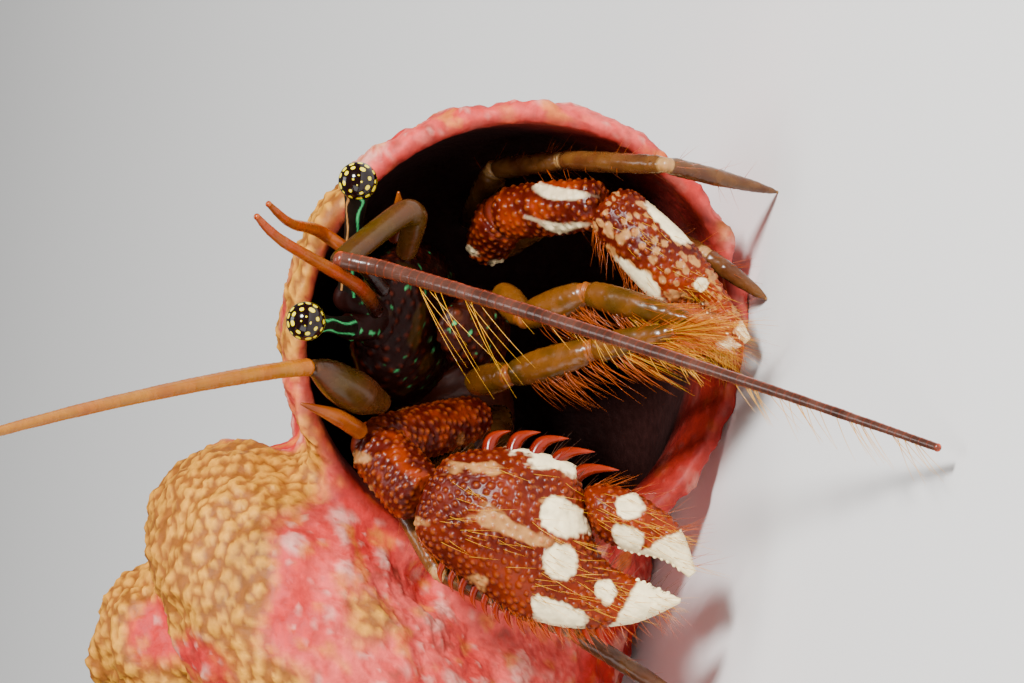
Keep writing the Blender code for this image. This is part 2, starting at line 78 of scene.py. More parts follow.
ANTENNULES = {
    "left": (((1.2, 3.4, 13.9), (2.2, 2.6, 15.3), (2.9, 2.4, 16.7),
              (3.0, -0.7, 18.4), (3.5, -2.1, 19.5)), (0.27, 0.27, 0.27, 0.26, 0.25)),
    "right": (((0.4, 3.6, 14.0), (1.2, 1.9, 15.2), (2.3, -1.6, 18.7),
               (3.0, -2.9, 20.0)), (0.27, 0.27, 0.26, 0.25))}
PEDUNCLES = {
    "left": (((2.7, 4.1, 13.1), (3.6, 3.1, 13.2), (4.0, 2.6, 13.4), (3.8, 2.3, 14.0),
              (2.1, 1.7, 15.8), (1.8, 1.6, 16.1)), (0.38, 0.44, 0.47, 0.46, 0.42, 0.25)),
    "right": (((-2.8, 4.3, 13.3), (-2.6, 3.3, 14.3), (-2.3, 2.5, 15.2),
               (-2.0, 1.9, 15.9), (-1.9, 1.6, 16.3)), (0.45, 0.74, 0.70, 0.52, 0.34))}
FLAGELLA = {"left": ((2.0, 0.9, 16.1), 27.0, 9.0, (-80.0, -39.0, -27.0)),
            "right": ((-1.9, 1.3, 16.7), 20.0, 23.0, (64.0, 57.0, 45.0))}
FLAGELLUM_BEND = 1.2
ACICLES = {
    "left": (((3.2, 5.0, 13.4), (3.9, 4.4, 13.5), (4.7, 3.6, 13.8)), (0.30, 0.36, 0.25)),
    "right": (((-3.9, 3.7, 14.0), (-3.5, 2.7, 15.1), (-3.2, 1.7, 16.6)),
              (0.32, 0.36, 0.25))}
LEG_PARTS = ("merus", "carpus", "propodus", "dactyl")
LEG_SIZES = ((0.36, 0.55), (0.40, 0.52), (0.37, 0.46), (0.33, 0.38), (0.27, 0.27))
MAXILLIPED_PARTS = ("merus", "carpus", "dactyl")
MAXILLIPED_SIZES = ((0.42, 0.42), (0.47, 0.44), (0.47, 0.42), (0.27, 0.26))
ARM_PARTS = ("merus", "carpus")
LIMBS = {
    "maxilliped_left": (MAXILLIPED_PARTS, (
        (1.8, 5.4, 9.2), (0.9, 3.9, 8.5), (2.1, 2.2, 6.8), (1.6, -0.8, 3.5)),
        MAXILLIPED_SIZES),
    "maxilliped_right": (MAXILLIPED_PARTS, (
        (-1.7, 5.7, 9.7), (-1.2, 3.6, 8.8), (0.1, 1.4, 6.5), (1.2, -0.8, 4.1)),
        MAXILLIPED_SIZES),
    "walking_leg_2_left": (LEG_PARTS, (
        (4.1, 10.9, 9.3), (6.2, 8.1, 9.3), (6.8, 5.8, 7.4), (7.0, 1.2, 4.8),
        (6.7, 3.0, 0.0)), LEG_SIZES),
    "walking_leg_2_right": (LEG_PARTS, (
        (-4.0, 9.9, 8.6), (-6.1, 4.8, 11.9), (-8.5, 2.6, 10.6), (-10.0, 2.5, 5.5),
        (-12.5, 1.5, 0.0)), LEG_SIZES),
    "walking_leg_3_left": (LEG_PARTS, (
        (3.1, 12.0, 8.0), (5.0, 9.5, 6.2), (5.0, 7.2, 4.0), (4.1, 3.6, 2.2),
        (2.8, 2.5, 0.0)), LEG_SIZES),
    "walking_leg_3_right": (LEG_PARTS, (
        (-2.6, 11.9, 7.0), (-4.6, 9.0, 7.4), (-5.9, 7.6, 6.8), (-6.1, 6.3, 5.3),
        (-5.8, 5.2, 4.1)), LEG_SIZES),
    "large_arm": (ARM_PARTS, ((-2.9, 8.2, 8.6), (-4.4, 4.9, 13.1), (-6.0, 2.4, 11.7)),
                  ((0.80, 0.85), (1.00, 1.05), (1.10, 0.98))),
    "small_arm": (ARM_PARTS, ((3.1, 9.3, 9.0), (4.6, 7.3, 9.0), (5.4, 4.0, 6.2)),
                  ((0.70, 0.75), (0.95, 0.95), (0.90, 0.78)))}
LARGE_CLAW = (Vector((-6.7, 2.2, 11.7)), Vector((-0.18, -0.35, -0.92)),
              Vector((1.0, 0.0, -0.2)))
LARGE_PALM = (
    (0.0, 1.7, 0.0, -0.3, 0.7, 0.6), (0.5, 2.6, 0.5, -0.9, 1.1, 0.9),
    (2.5, 3.5, 2.3, -1.5, 1.6, 1.1), (4.5, 3.6, 4.3, -2.1, 1.5, 1.1),
    (5.0, 3.1, 5.0, -2.1, 1.4, 1.0), (6.1, 1.3, 6.1, -2.0, 1.0, 0.8),
    (7.0, 0.6, 7.0, -1.7, 0.8, 0.7), (8.6, 0.4, 8.5, -1.0, 0.5, 0.4),
    (9.7, 0.3, 9.7, 0.1, 0.2, 0.1))
LARGE_FINGER = (
    (5.3, 2.9, 6.1, 1.6, 0.6, 0.5), (5.7, 3.2, 6.4, 1.4, 0.9, 0.7),
    (7.0, 3.3, 7.4, 1.3, 0.9, 0.7), (8.8, 2.7, 8.7, 1.4, 0.6, 0.5),
    (9.9, 1.4, 9.7, 1.1, 0.2, 0.1))
MARGIN_SWELL, OUTER_SWELL = 0.45, 0.65
SMALL_CLAW = (Vector((5.4, 4.0, 6.1)), Vector((-0.6, -0.35, -0.7)),
              Vector((0.8, -0.15, -0.6)))
SMALL_PALM = (
    (0.1, 0.8, 0.1, -0.7, 0.6, 0.5), (0.6, 1.1, 0.6, -1.0, 0.8, 0.7),
    (2.5, 1.3, 2.5, -1.2, 1.0, 0.8), (4.0, 1.2, 3.9, -1.1, 0.9, 0.7),
    (4.6, 1.1, 4.6, -0.4, 0.8, 0.6), (5.0, 1.0, 5.0, 0.0, 0.6, 0.5),
    (6.6, 0.6, 6.6, 0.1, 0.3, 0.3), (7.2, 0.4, 7.2, 0.1, 0.2, 0.1))
SMALL_FINGER = (
    (4.9, -0.2, 4.3, -1.0, 0.4, 0.4), (5.4, -0.1, 4.9, -1.1, 0.5, 0.4),
    (6.7, -0.1, 6.6, -0.8, 0.4, 0.3), (7.2, 0.0, 7.1, -0.3, 0.2, 0.1))

# ---- sizes of the looks alone: unlike the solids' own ----
# spines: how many, the first and the last one's (root, tip), and their radius
FLAGELLUM_RADII = (0.31, 0.13)
MARGIN_SPINES = (5, ((1.7, 2.9), (2.1, 4.0)), ((4.7, 3.0), (6.2, 3.9)), 0.36)
OUTER_SPINES = (14, ((1.4, -1.1), (1.5, -1.9)), ((7.2, -1.4), (7.8, -2.1)), 0.17)

# ---- colours ----
DARK_RED, RUST, CREAM = (0.060, 0.0032, 0.0008), (0.22, 0.021, 0.0008), (1.0, 0.83, 0.47)
BEIGE, ORANGE, KNOB = (0.42, 0.19, 0.055), (0.42, 0.036, 0.0008), (0.30, 0.058, 0.006)
SPINE_RED, OLIVE, MINT = (0.11, 0.003, 0.0004), (0.055, 0.025, 0.0015), (0.06, 0.52, 0.17)
SPINE_TIP, HONEY = (0.26, 0.018, 0.0004), (0.34, 0.12, 0.004)
BLACK, PALE_YELLOW = (0.006, 0.001, 0.001), (0.88, 0.68, 0.012)
GOLD, HAIR_ORANGE, HAIR_DARK = (0.72, 0.33, 0.008), (0.46, 0.075, 0.001), (0.10, 0.03, 0.01)
PINK, ROSE, CRUST_WHITE = (0.68, 0.080, 0.065), (0.48, 0.014, 0.012), (0.76, 0.44, 0.34)
# the last colour in the next line is painted shade: the near black deep in the shell's hollow
OCHRE, BROWN, HOLLOW_SHADOW = (0.62, 0.18, 0.012), (0.07, 0.018, 0.005), (0.018, 0.002, 0.001)
CORAL_GOLD, CORAL_DEEP = (0.62, 0.26, 0.012), (0.24, 0.070, 0.003)
LEG_TAN, JOINT_PALE = (0.115, 0.042, 0.009), (0.34, 0.18, 0.055)
MAXILLIPED_BROWN, AMBER = (0.115, 0.037, 0.004), (0.30, 0.068, 0.003)
# painted shade: the dark red painted over the wall of the shell's hollow
HOLLOW_SHADE = (0.24, 0.010, 0.004)
CARAPACE_DARK, MOUTH_DARK = (0.012, 0.0018, 0.001), (0.022, 0.003, 0.001)
ABDOMEN_RED, STALK_DARK = (0.10, 0.025, 0.012), (0.008, 0.005, 0.003)
FLOOR_PALE, SKY_PALE = (0.78, 0.77, 0.75), (0.95, 0.97, 1.0)
WHIP_CLEAR, WHIP_DEEP, WHIP_EDGE = (0.075, 0.028, 0.018), (0.03, 0.010, 0.006), (0.50, 0.045, 0.001)

# Cream spots of a claw piece, in shares: how far along the piece, and how far across it
# from its middle to its inner (1) or outer (-1) margin.  place_spots gives their size,
# length and turn.  On the large claw three lie in a row across the palm, one on the inner
# margin under the spines, and each finger has one or two before its white tip.
LARGE_SPOTS = ((0.52, 0.45), (0.55, 0.0), (0.60, -0.8), (0.75, 0.2), (0.40, 1.05))
LARGE_FINGER_SPOTS = ((0.35, 0.5), (0.35, -0.6))
SMALL_SPOTS = ((0.30, 0.85), (0.45, -0.9), (0.65, 0.0))
SMALL_FINGER_SPOTS = ((0.35, 0.0),)
# a spot's half width in mm where the piece's own half width is 1 mm, and how much
# longer than wide it is at the margins
LARGE_SPOT, SMALL_SPOT = (0.42, 1.7), (0.32, 3.5)
# small pale specks in staggered rows: how many along and across; their half width at
# 1 mm and how they are drawn out, as for the spots
SPECK_ROWS, SPECK = (10, 6), (0.11, 2.5)
# pale ragged streaks: the share of the piece they reach to, and how dense they are
LARGE_STREAKS, NO_STREAKS = (0.55, 0.40), (0.0, 0.0)
# the white tips: where they start along the claw, and how much later for each mm across
PALM_TIP, FINGER_TIP, SMALL_TIP = (8.0, 0.25), (6.6, 0.85), (6.6, 0.0)

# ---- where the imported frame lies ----
def smooth_rows(rows, count):
    made = []
    for i in range(count):
        where = (len(rows) - 1) * i / (count - 1)
        k = min(int(where), len(rows) - 2)
        t = where - k
        four = [rows[min(max(k + step, 0), len(rows) - 1)] for step in (-1, 0, 1, 2)]
        made.append(tuple(
            b + 0.5 * t * (c - a + t * (2 * a - 5 * b + 4 * c - d + t * (3 * b - a - 3 * c + d)))
            for a, b, c, d in zip(*four)))
    return made


def side_frame(along, hint):
    side = (hint - along * hint.dot(along)).normalized()
    return side, along.cross(side).normalized()


def claw_frame(claw):
    """A claw's origin, and the ways along it, across it and out of its front."""
    origin, along, across = claw
    along = along.normalized()
    return (origin, along, *side_frame(along, across))


def around(sides):
    """The turns of a ring's points."""
    return 2.0 * np.pi * np.arange(sides) / sides


def blade_grid(rows, claw, stations, sides):
    """Rings of a claw piece, as an array (station, side, xyz), and claw coordinates."""
    origin, along, across, front = (np.array(v) for v in claw_frame(claw))
    rows = np.array(smooth_rows(rows, stations))
    turn = around(sides)
    inner, outer = rows[:, None, 0:2], rows[:, None, 2:4]
    flat = (inner + outer) / 2 + (inner - outer) / 2 * np.cos(turn)[None, :, None]
    deep = np.where(np.sin(turn) > 0, rows[:, None, 4], rows[:, None, 5]) * np.sin(turn)
    points = origin + flat[..., :1] * along + flat[..., 1:] * across + deep[..., None] * front
    return points, flat


low_corner = blade_grid(LARGE_FINGER, LARGE_CLAW, 8, 12)[0].reshape(-1, 3).min(0)
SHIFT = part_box("large_claw_finger")[0] / MM - Vector(low_corner)
SHIFT.z = 0.0


# ---- materials ----
def setting(node, **values):
    """Sets the inputs of a shader node; _ stands for the blank in an input's name."""
    for socket, value in values.items():
        node.inputs[socket.replace("_", " ")].default_value = value
    return node


def new_material(name):
    made = bpy.data.materials.new(name)
    made.use_nodes = True
    return made, made.node_tree, made.node_tree.nodes["Principled BSDF"]


def painted(name, rough, coat, grain=0.5, scale=2600.0, bump=0.00004, soften=0.0,
            specular=0.35):
    """Colour from the vertices, broken up by noise, with a fine bumped grain."""
    made, tree, shader = new_material(name)

    def node(kind, **values):
        return setting(tree.nodes.new("ShaderNode" + kind), **values)

    paint, place, mix = node("Attribute"), node("TexCoord"), node("VectorMath")
    paint.attribute_name, mix.operation = "paint", "SCALE"
    cloud = node("TexNoise", Scale=scale, Detail=5.0)
    shade = node("MapRange", To_Min=1.0 - grain, To_Max=1.0 + grain)
    gloss = node("MapRange", To_Min=max(0.04, rough - 0.12), To_Max=min(1.0, rough + 0.12))
    dent = node("Bump", Distance=bump, Strength=0.6)
    for source, output, target, socket in (
            (place, "Object", cloud, "Vector"), (cloud, "Fac", shade, "Value"),
            (paint, "Color", mix, 0), (shade, "Result", mix, "Scale"),
            (mix, "Vector", shader, "Base Color"), (cloud, "Fac", gloss, "Value"),
            (gloss, "Result", shader, "Roughness"), (cloud, "Fac", dent, "Height"),
            (dent, "Normal", shader, "Normal")):
        tree.links.new(source.outputs[output], target.inputs[socket])
    setting(shader, Coat_Weight=coat, Coat_Roughness=0.12, Specular_IOR_Level=specular)
    if soften:
        setting(shader, Subsurface_Weight=soften, Subsurface_Scale=0.0004,
                Subsurface_Radius=(1.0, 0.45, 0.25))
    return made


CHITIN = painted("chitin", 0.34, 0.0, 0.50, specular=0.17)
DARK_CHITIN = painted("dark_chitin", 0.42, 0.0, 0.50, specular=0.10)
SOFT_SKIN = painted("soft_skin", 0.45, 0.15, 0.30, 1500.0, soften=0.25)
GLASSY = painted("glassy_chitin", 0.26, 0.10, 0.35, 2200.0, soften=0.05, specular=0.28)
EYE_GLASS = painted("cornea", 0.10, 0.25, 0.05, 3000.0, 0.000005, specular=0.25)
CRUST = painted("coralline_crust", 0.62, 0.0, 0.50, 2800.0, 0.00010)
HAIR = painted("seta", 0.30, 0.10, 0.30, 900.0, 0.0)


# ---- mesh makers ----
def linked(name, data):
    """A new object in the scene."""
    made = bpy.data.objects.new(name, data)
    bpy.context.scene.collection.objects.link(made)
    return made


def build(name, points, faces, paint, material, slot, nodes=()):
    """A piece from design points in mm, with its paint on the vertices."""
    mesh = bpy.data.meshes.new(name)
    points = (np.asarray(points, float) + np.array(SHIFT)) * MM
    points[:, 2] = np.maximum(points[:, 2], 0.0)
    mesh.from_pydata(points.tolist(), [], faces)
    mesh.update()
    layer = mesh.color_attributes.new("paint", "FLOAT_COLOR", "POINT")
    colour = np.ones((len(points), 4), np.float32)
    colour[:, :3] = np.clip(paint, 0.0, 1.0)
    layer.data.foreach_set("color", colour.ravel())
    mesh.polygons.foreach_set("use_smooth", [True] * len(mesh.polygons))
    mesh.materials.append(material)
    piece = linked(name, mesh)
    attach(piece, "root")
    if nodes:
        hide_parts(*nodes)
    return piece


def grid_faces(rows, sides, start=0):
    """Quads of a closed tube whose ends are each a fan to one pole."""
    pole, last = start + rows * sides, start + (rows - 1) * sides
    ring = [(j, (j + 1) % sides) for j in range(sides)]
    faces = [(a + j, a + k, a + sides + k, a + sides + j)
             for a in range(start, last, sides) for j, k in ring]
    for j, k in ring:
        faces += [(pole, start + k, start + j), (pole + 1, last + j, last + k)]
    return faces


def grid_normals(points):
    """Outward normals of a closed tube grid."""
    around = np.roll(points, -1, 1) - np.roll(points, 1, 1)
    normals = np.cross(around, np.gradient(points, axis=0))
    normals /= np.maximum(np.linalg.norm(normals, axis=2, keepdims=True), 1e-9)
    out = ((points - points.mean(1, keepdims=True)) * normals).sum()
    return normals if out > 0 else -normals


CAP_RINGS = 8


def capped(grid, bulge, rings=CAP_RINGS):
    """The same tube grid with domed ends; also carries flat claw coordinates along."""
    ends = []
    for edge, inner in ((grid[0], grid[1]), (grid[-1], grid[-2])):
        centre = edge.mean(0)
        way = centre - inner.mean(0)
        way = way / max(np.linalg.norm(way), 1e-9)
        size = np.linalg.norm(edge - centre, axis=1).mean() * bulge
        turns = [math.pi / 2 * k / (rings + 0.4) for k in range(1, rings + 1)]
        ends.append(np.array([centre + (edge - centre) * math.cos(a) + way * size * math.sin(a)
                              for a in turns]))
    return np.concatenate([ends[0][::-1], grid, ends[1]])


def closed(points, paint):
    """Adds the two poles that grid_faces needs."""
    ends = np.stack([points[0].mean(0), points[-1].mean(0)])
    tone = np.stack([paint[0].mean(0), paint[-1].mean(0)])
    return (np.concatenate([points.reshape(-1, 3), ends]),
            np.concatenate([paint.reshape(-1, 3), tone]))


def skin(name, points, paint, material, slot, nodes=(), height=None):
    """A painted tube grid as a closed piece, raised by height along its normals."""
    if height is not None:
        points = points + grid_normals(points) * height[..., None]
    flat_points, flat_paint = closed(points, paint)
    return build(name, flat_points, grid_faces(*points.shape[:2]), flat_paint, material,
                 slot, nodes)


def scatter(points, spacing, seed):
    """Well spaced points out of a dense cloud of them."""
    dice = random.Random(seed)
    order = list(range(len(points)))
    dice.shuffle(order)
    cells, kept = {}, []
    for i in order:
        p = points[i]
        cell = tuple(int(math.floor(c / spacing)) for c in p)
        near = (cells.get((cell[0] + a, cell[1] + b, cell[2] + c), ())
                for a in (-1, 0, 1) for b in (-1, 0, 1) for c in (-1, 0, 1))
        if all((points[q][0] - p[0]) ** 2 + (points[q][1] - p[1]) ** 2
               + (points[q][2] - p[2]) ** 2 >= spacing ** 2 for group in near for q in group):
            cells.setdefault(cell, []).append(i)
            kept.append(i)
    return kept


def domes(points, spacing, radius, seed):
    """How high each point stands on the nearest knob, from 0 to 1."""
    flat = points.reshape(-1, 3)
    kept = scatter(flat.tolist(), spacing, seed)
    tree = KDTree(len(kept))
    dice = random.Random(seed + 1)
    sizes = [radius * dice.uniform(0.7, 1.25) for _ in kept]
    for n, i in enumerate(kept):
        tree.insert(flat[i], n)
    tree.balance()
    rise = np.zeros(len(flat))
    for i, point in enumerate(flat):
        _, n, gap = tree.find(point)
        rise[i] = max(0.0, 1.0 - (gap / sizes[n]) ** 2) ** 0.6
    return rise.reshape(points.shape[:-1])


def clouds(points, scale, seed=0.0):
    """Smooth noise from about 0 to 1 at each point."""
    shift = Vector((seed, seed * 1.7, -seed))
    flat = points.reshape(-1, 3)
    value = [noise.noise(Vector(p) * scale + shift) for p in flat]
    return (np.array(value) * 0.5 + 0.5).reshape(points.shape[:-1])


def blend(base, tone, share):
    return base * (1 - share[..., None]) + np.array(tone) * share[..., None]


def ramp(value, start, slope, most=1.0):
    """0 on one side of start, rising on the other, but not above most."""
    return np.clip((value - start) * slope, 0, most)


def layers(points, ground, *coats):
    """The ground colour at each point under coats, each a colour and its share."""
    paint = np.zeros(points.shape) + np.array(ground)
    for tone, share in coats:
        paint = blend(paint, tone, share)
    return paint


def place_spots(rows, spots, size, draw):
    """Spots given in shares of a claw piece, as ovals in its flat coordinates in mm.

    A spot grows with the root of the piece's width there.  It is round on the middle
    line, is drawn out towards the margins, and turns half as much as the outline does.
    """
    path = np.array(smooth_rows(rows, 80))
    middle = (path[:, 0:2] + path[:, 2:4]) / 2
    half = (path[:, 0:2] - path[:, 2:4]) / 2
    placed = []
    for along, across in spots:
        line = middle + half * across
        level = line[0, 0] + (line[-1, 0] - line[0, 0]) * along
        k = min(max(int(np.argmin(np.abs(line[:, 0] - level))), 1), len(line) - 2)
        flow = line[k + 1] - line[k - 1]
        wide = size * math.sqrt(np.linalg.norm(half[k]))
        placed.append((*line[k], wide * (1.0 + draw * across ** 2), wide,
                       0.5 * math.degrees(math.atan2(flow[1], flow[0]))))
    return placed


def specks(counts, dice):
    """Staggered places over a claw piece, each moved a little at random."""
    return [((i + 0.5 + dice.uniform(-0.35, 0.35)) / (counts[0] + 1.5),
             ((j + 0.5 + 0.5 * (i % 2) + dice.uniform(-0.35, 0.35)) / counts[1]) * 1.8 - 1.0)
            for i in range(counts[0]) for j in range(counts[1])]


def spot_share(flat, spots, ragged):
    """1 inside any of the oval markings, with a soft uneven edge."""
    share = np.zeros(flat.shape[:2])
    for along, across, half_long, half_wide, turn in spots:
        c, s = math.cos(math.radians(turn)), math.sin(math.radians(turn))
        u, v = flat[..., 0] - along, flat[..., 1] - across
        gap = np.sqrt(((u * c + v * s) / half_long) ** 2 + ((v * c - u * s) / half_wide) ** 2)
        share = np.maximum(share, np.clip((1.0 + ragged - gap) / 0.20, 0.0, 1.0))
    return share


def streak_share(flat, streaks, seed):
    """Ragged pale streaks drawn out along the claw, ending at a share of its length."""
    reach, cover = streaks
    if not cover:
        return np.zeros(flat.shape[:2])
    drawn_out = np.stack([flat[..., 0] * 0.5, flat[..., 1], 0 * flat[..., 0]], -1)
    value = clouds(drawn_out, 1.15, seed) + (clouds(drawn_out, 5.0, seed + 3.0) - 0.5) * 0.22
    level = np.quantile(value, 1.0 - cover * 0.45)
    start, end = flat[..., 0].min(), flat[..., 0].max()
    fade = np.clip((start + (end - start) * reach - flat[..., 0]) / 0.8, 0, 1)
    return np.clip((value - level) * 14, 0, 1) * fade


def tube_grid(points, radii, count, sides, hint=(1, 0, 0), round_ends=True):
    """A smooth oval tube as a grid, and the share of the length at each station."""
    rows = [(*point, *np.atleast_1d(radius)) for point, radius in zip(points, radii)]
    path, sizes = np.split(np.array(smooth_rows(rows, count)), [3], axis=1)
    if sizes.shape[1] == 1:
        sizes = np.repeat(sizes, 2, 1)
    ways = np.gradient(path, axis=0)
    ways /= np.linalg.norm(ways, axis=1, keepdims=True)
    side = np.array(side_frame(Vector(ways[0]), Vector(hint))[0])
    turn = around(sides)
    rings = []
    for i, (centre, way) in enumerate(zip(path, ways)):
        side = side - way * side.dot(way)
        side /= np.linalg.norm(side)
        up = np.cross(way, side)
        rings.append(centre + np.cos(turn)[:, None] * side * sizes[i, 0]
                     + np.sin(turn)[:, None] * up * sizes[i, 1])
    share = np.linspace(0.0, 1.0, count)
    points = np.array(rings)
    if round_ends:
        edge = np.minimum(share, 1 - share) * (count - 1) / 3.0
        pinch = np.sqrt(np.clip(1.0 - (1.0 - np.clip(edge, 0, 1)) ** 2, 0.06, 1.0))
        points = path[:, None] + (points - path[:, None]) * pinch[:, None, None]
    return points, share


# ---- shell ----
def coil_axes():
    """Directions at the mouth: the way out of it, and away from the coiling axis."""
    ahead = (FACING - SPIRE * FACING.dot(SPIRE)).normalized()
    opening = math.atan(math.log(WHORL_GROWTH) / (2.0 * math.pi))
    forward = ahead * math.cos(opening) - SPIRE.cross(ahead) * math.sin(opening)
    return forward, SPIRE.cross(forward)


def whorl_centre(angle):
    forward, outward = coil_axes()
    shrink = math.exp(-angle * math.log(WHORL_GROWTH) / (2.0 * math.pi))
    apex = MOUTH - outward * COIL_RADIUS + SPIRE * COIL_RISE
    arm = outward * math.cos(angle) - forward * math.sin(angle)
    return apex + (arm * COIL_RADIUS - SPIRE * COIL_RISE) * shrink, shrink


def tube_object(*grids):
    """Closed tubes, in design mm, as one object for the shell's modifiers."""
    body = bmesh.new()
    for grid in grids:
        ends = np.stack([grid[0].mean(0), grid[-1].mean(0)])
        flat = (np.concatenate([grid.reshape(-1, 3), ends]) + np.array(SHIFT)) * MM
        mesh = bpy.data.meshes.new("tube")
        mesh.from_pydata(flat.tolist(), [], grid_faces(*grid.shape[:2]))
        body.from_mesh(mesh)
        bpy.data.meshes.remove(mesh)
    bmesh.ops.recalc_face_normals(body, faces=body.faces)
    mesh = bpy.data.meshes.new("coil")
    body.to_mesh(mesh)
    body.free()
    return linked("coil", mesh)


def coil_tube(start, end, step, sides, station, round_ends=False):
    """A tube round the axis; station gives its centre and radius from angle and share."""
    count = int(round((end - start) / step)) + 1
    rows = [station(start + (end - start) * i / (count - 1), i / (count - 1))
            for i in range(count)]
    return tube_grid(*zip(*rows), count, sides, round_ends=round_ends)[0]


def coil(start, end, radius, step, sides, swell=None):
    """The whorl between two turns; swell gives its thickness from the share of the way."""
    def station(angle, share):
        centre, shrink = whorl_centre(angle)
        return centre, radius * shrink * (swell(share) if swell else 1.0)
    return coil_tube(start, end, step, sides, station)


def seam(start, end, radius, step, sides):
    """The callus that fills the groove between one whorl and the next."""
    def station(angle, share):
        outer, outer_size = whorl_centre(angle)
        inner, inner_size = whorl_centre(angle + 2.0 * math.pi)
        return outer.lerp(inner, outer_size / (outer_size + inner_size)), radius * outer_size
    return coil_tube(start, end, step, sides, station, True)


def navel_plug():
    """The callus that closes the shell's navel, where the whorls turn about the axis."""
    base = MOUTH - coil_axes()[1] * COIL_RADIUS
    return tube_grid([base + SPIRE * COIL_RISE * (1.0 - share) for share in PLUG_SHARES],
                     [PLUG_RADIUS * share for share in PLUG_SHARES], 60, 40)[0]


def rounded_end(share):
    return 1.0 if share < 0.8 else math.sqrt(max(0.02, 1.0 - ((share - 0.8) / 0.2) ** 2))


SHELL_FUSE, SHELL_FINE = 0.55, 0.20     # the voxels of the two remeshings
BATCH = 20000                           # how many points are worked on at a time
GOLD_LEVEL = 15.0       # the crust turns from pink to golden above this height
ARM_SEED, TRUNK_SEED, POLYP_SEED = 30, 50, 77
# spacing, radius and height of a claw's and of an arm's knobs, where their size is 1 mm
CLAW_KNOBS, ARM_KNOBS = (1.40, 0.62, 0.36), (1.5, 0.6, 0.4)


def shell_piece():
    """The coil fused, hollowed and cut at the ground, then remeshed fine and encrusted."""
    body = tube_object(
        coil(0.0, TURNS * 2.0 * math.pi, WHORL_RADIUS, 0.09, 64),
        seam(SEAM_START, (TURNS - 1.0) * 2.0 * math.pi, SEAM_RADIUS, 0.09, 32),
        navel_plug())
    melt = body.modifiers.new("Fuse", "REMESH")
    melt.mode, melt.voxel_size = "VOXEL", SHELL_FUSE * MM
    hollow = tube_object(
        coil(HOLLOW_START, CAVITY_TURN, WHORL_RADIUS - WALL, 0.12, 48, rounded_end))
    cut = body.modifiers.new("Hollow", "BOOLEAN")
    cut.operation, cut.solver, cut.object = "DIFFERENCE", "EXACT", hollow
    fine = body.modifiers.new("Fine", "REMESH")
    fine.mode, fine.voxel_size = "VOXEL", SHELL_FINE * MM
    ease = body.modifiers.new("Ease", "SMOOTH")
    ease.factor, ease.iterations = 0.5, 4
    graph = bpy.context.evaluated_depsgraph_get()
    mesh = bpy.data.meshes.new_from_object(body.evaluated_get(graph))
    bpy.data.objects.remove(body)
    bpy.data.objects.remove(hollow)
    count = len(mesh.vertices)
    points, normals = np.zeros(count * 3), np.zeros(count * 3)
    mesh.vertices.foreach_get("co", points)
    mesh.vertices.foreach_get("normal", normals)
    points = points.reshape(-1, 3) / MM - np.array(SHIFT)
    normals = normals.reshape(-1, 3)
    faces = [tuple(face.vertices) for face in mesh.polygons]
    bpy.data.meshes.remove(mesh)
    inside = np.zeros(count)
    axis = [whorl_centre(HOLLOW_START + (CAVITY_TURN - HOLLOW_START) * i / 60)
            for i in range(61)]
    centres = np.array([tuple(centre) for centre, _ in axis])
    reach = np.array([shrink for _, shrink in axis]) * WHORL_RADIUS
    for start in range(0, count, BATCH):
        part = points[start:start + BATCH]
        gap = np.linalg.norm(part[:, None] - centres[None], axis=2) / reach[None]
        inside[start:start + BATCH] = np.clip((0.955 - gap.min(1)) / 0.03, 0.0, 1.0)
    lumps, mottle = clouds(points, 0.9, 3.0), clouds(points, 0.28, 9.0)
    fine_lumps, flecks = clouds(points, 3.2, 5.0), clouds(points, 1.25, 21.0)
    stipple = clouds(points, 5.5, 40.0)
    rise = ((lumps - 0.5) * 0.55 + (fine_lumps - 0.5) * 0.22) * (1 - inside)
    rise += (fine_lumps - 0.5) * 0.06 * inside
    points = points + normals * rise[:, None]
    points[:, 2] = np.maximum(points[:, 2], 0.0)
    polyps = domes(points, 0.46, 0.25, POLYP_SEED)
    gold = np.clip((points[:, 2] - GOLD_LEVEL + (mottle - 0.5) * 16.0) / 2.0, 0, 1)
    points = points + normals * (polyps * gold * (1 - inside) * 0.10)[:, None]
    paint = layers(points, PINK, (ROSE, ramp(mottle, 0.55, -6)),
                   (CRUST_WHITE, ramp(lumps, 0.65, 6, 0.5)),
                   (OCHRE, ramp(flecks, 0.64, 6, 0.65)), (BROWN, ramp(flecks, 0.29, -7, 0.55)),
                   (ROSE, ramp(stipple, 0.56, 7, 0.6)),
                   (CRUST_WHITE, ramp(fine_lumps, 0.72, 6, 0.35)))
    coral = layers(points, CORAL_DEEP, (CORAL_GOLD, ramp(polyps, 0, 1.3)))
    paint = paint * (1 - gold[:, None]) + coral * gold[:, None]
    # Painted shade: the wall of the hollow is painted dark red, darkening to near black deeper in
    # from the mouth, where shade falls inside the shell.
    shade_depth = np.clip(((points - np.array(MOUTH)) @ np.array(-FACING.normalized()) - 0.3) / 3.5,
                    0, 1)
    paint = blend(paint, HOLLOW_SHADE, inside * 0.85)
    paint = blend(paint, HOLLOW_SHADOW, inside * shade_depth)
    return build("shell_crust", points, faces, paint, CRUST, "shell", ("shell",))


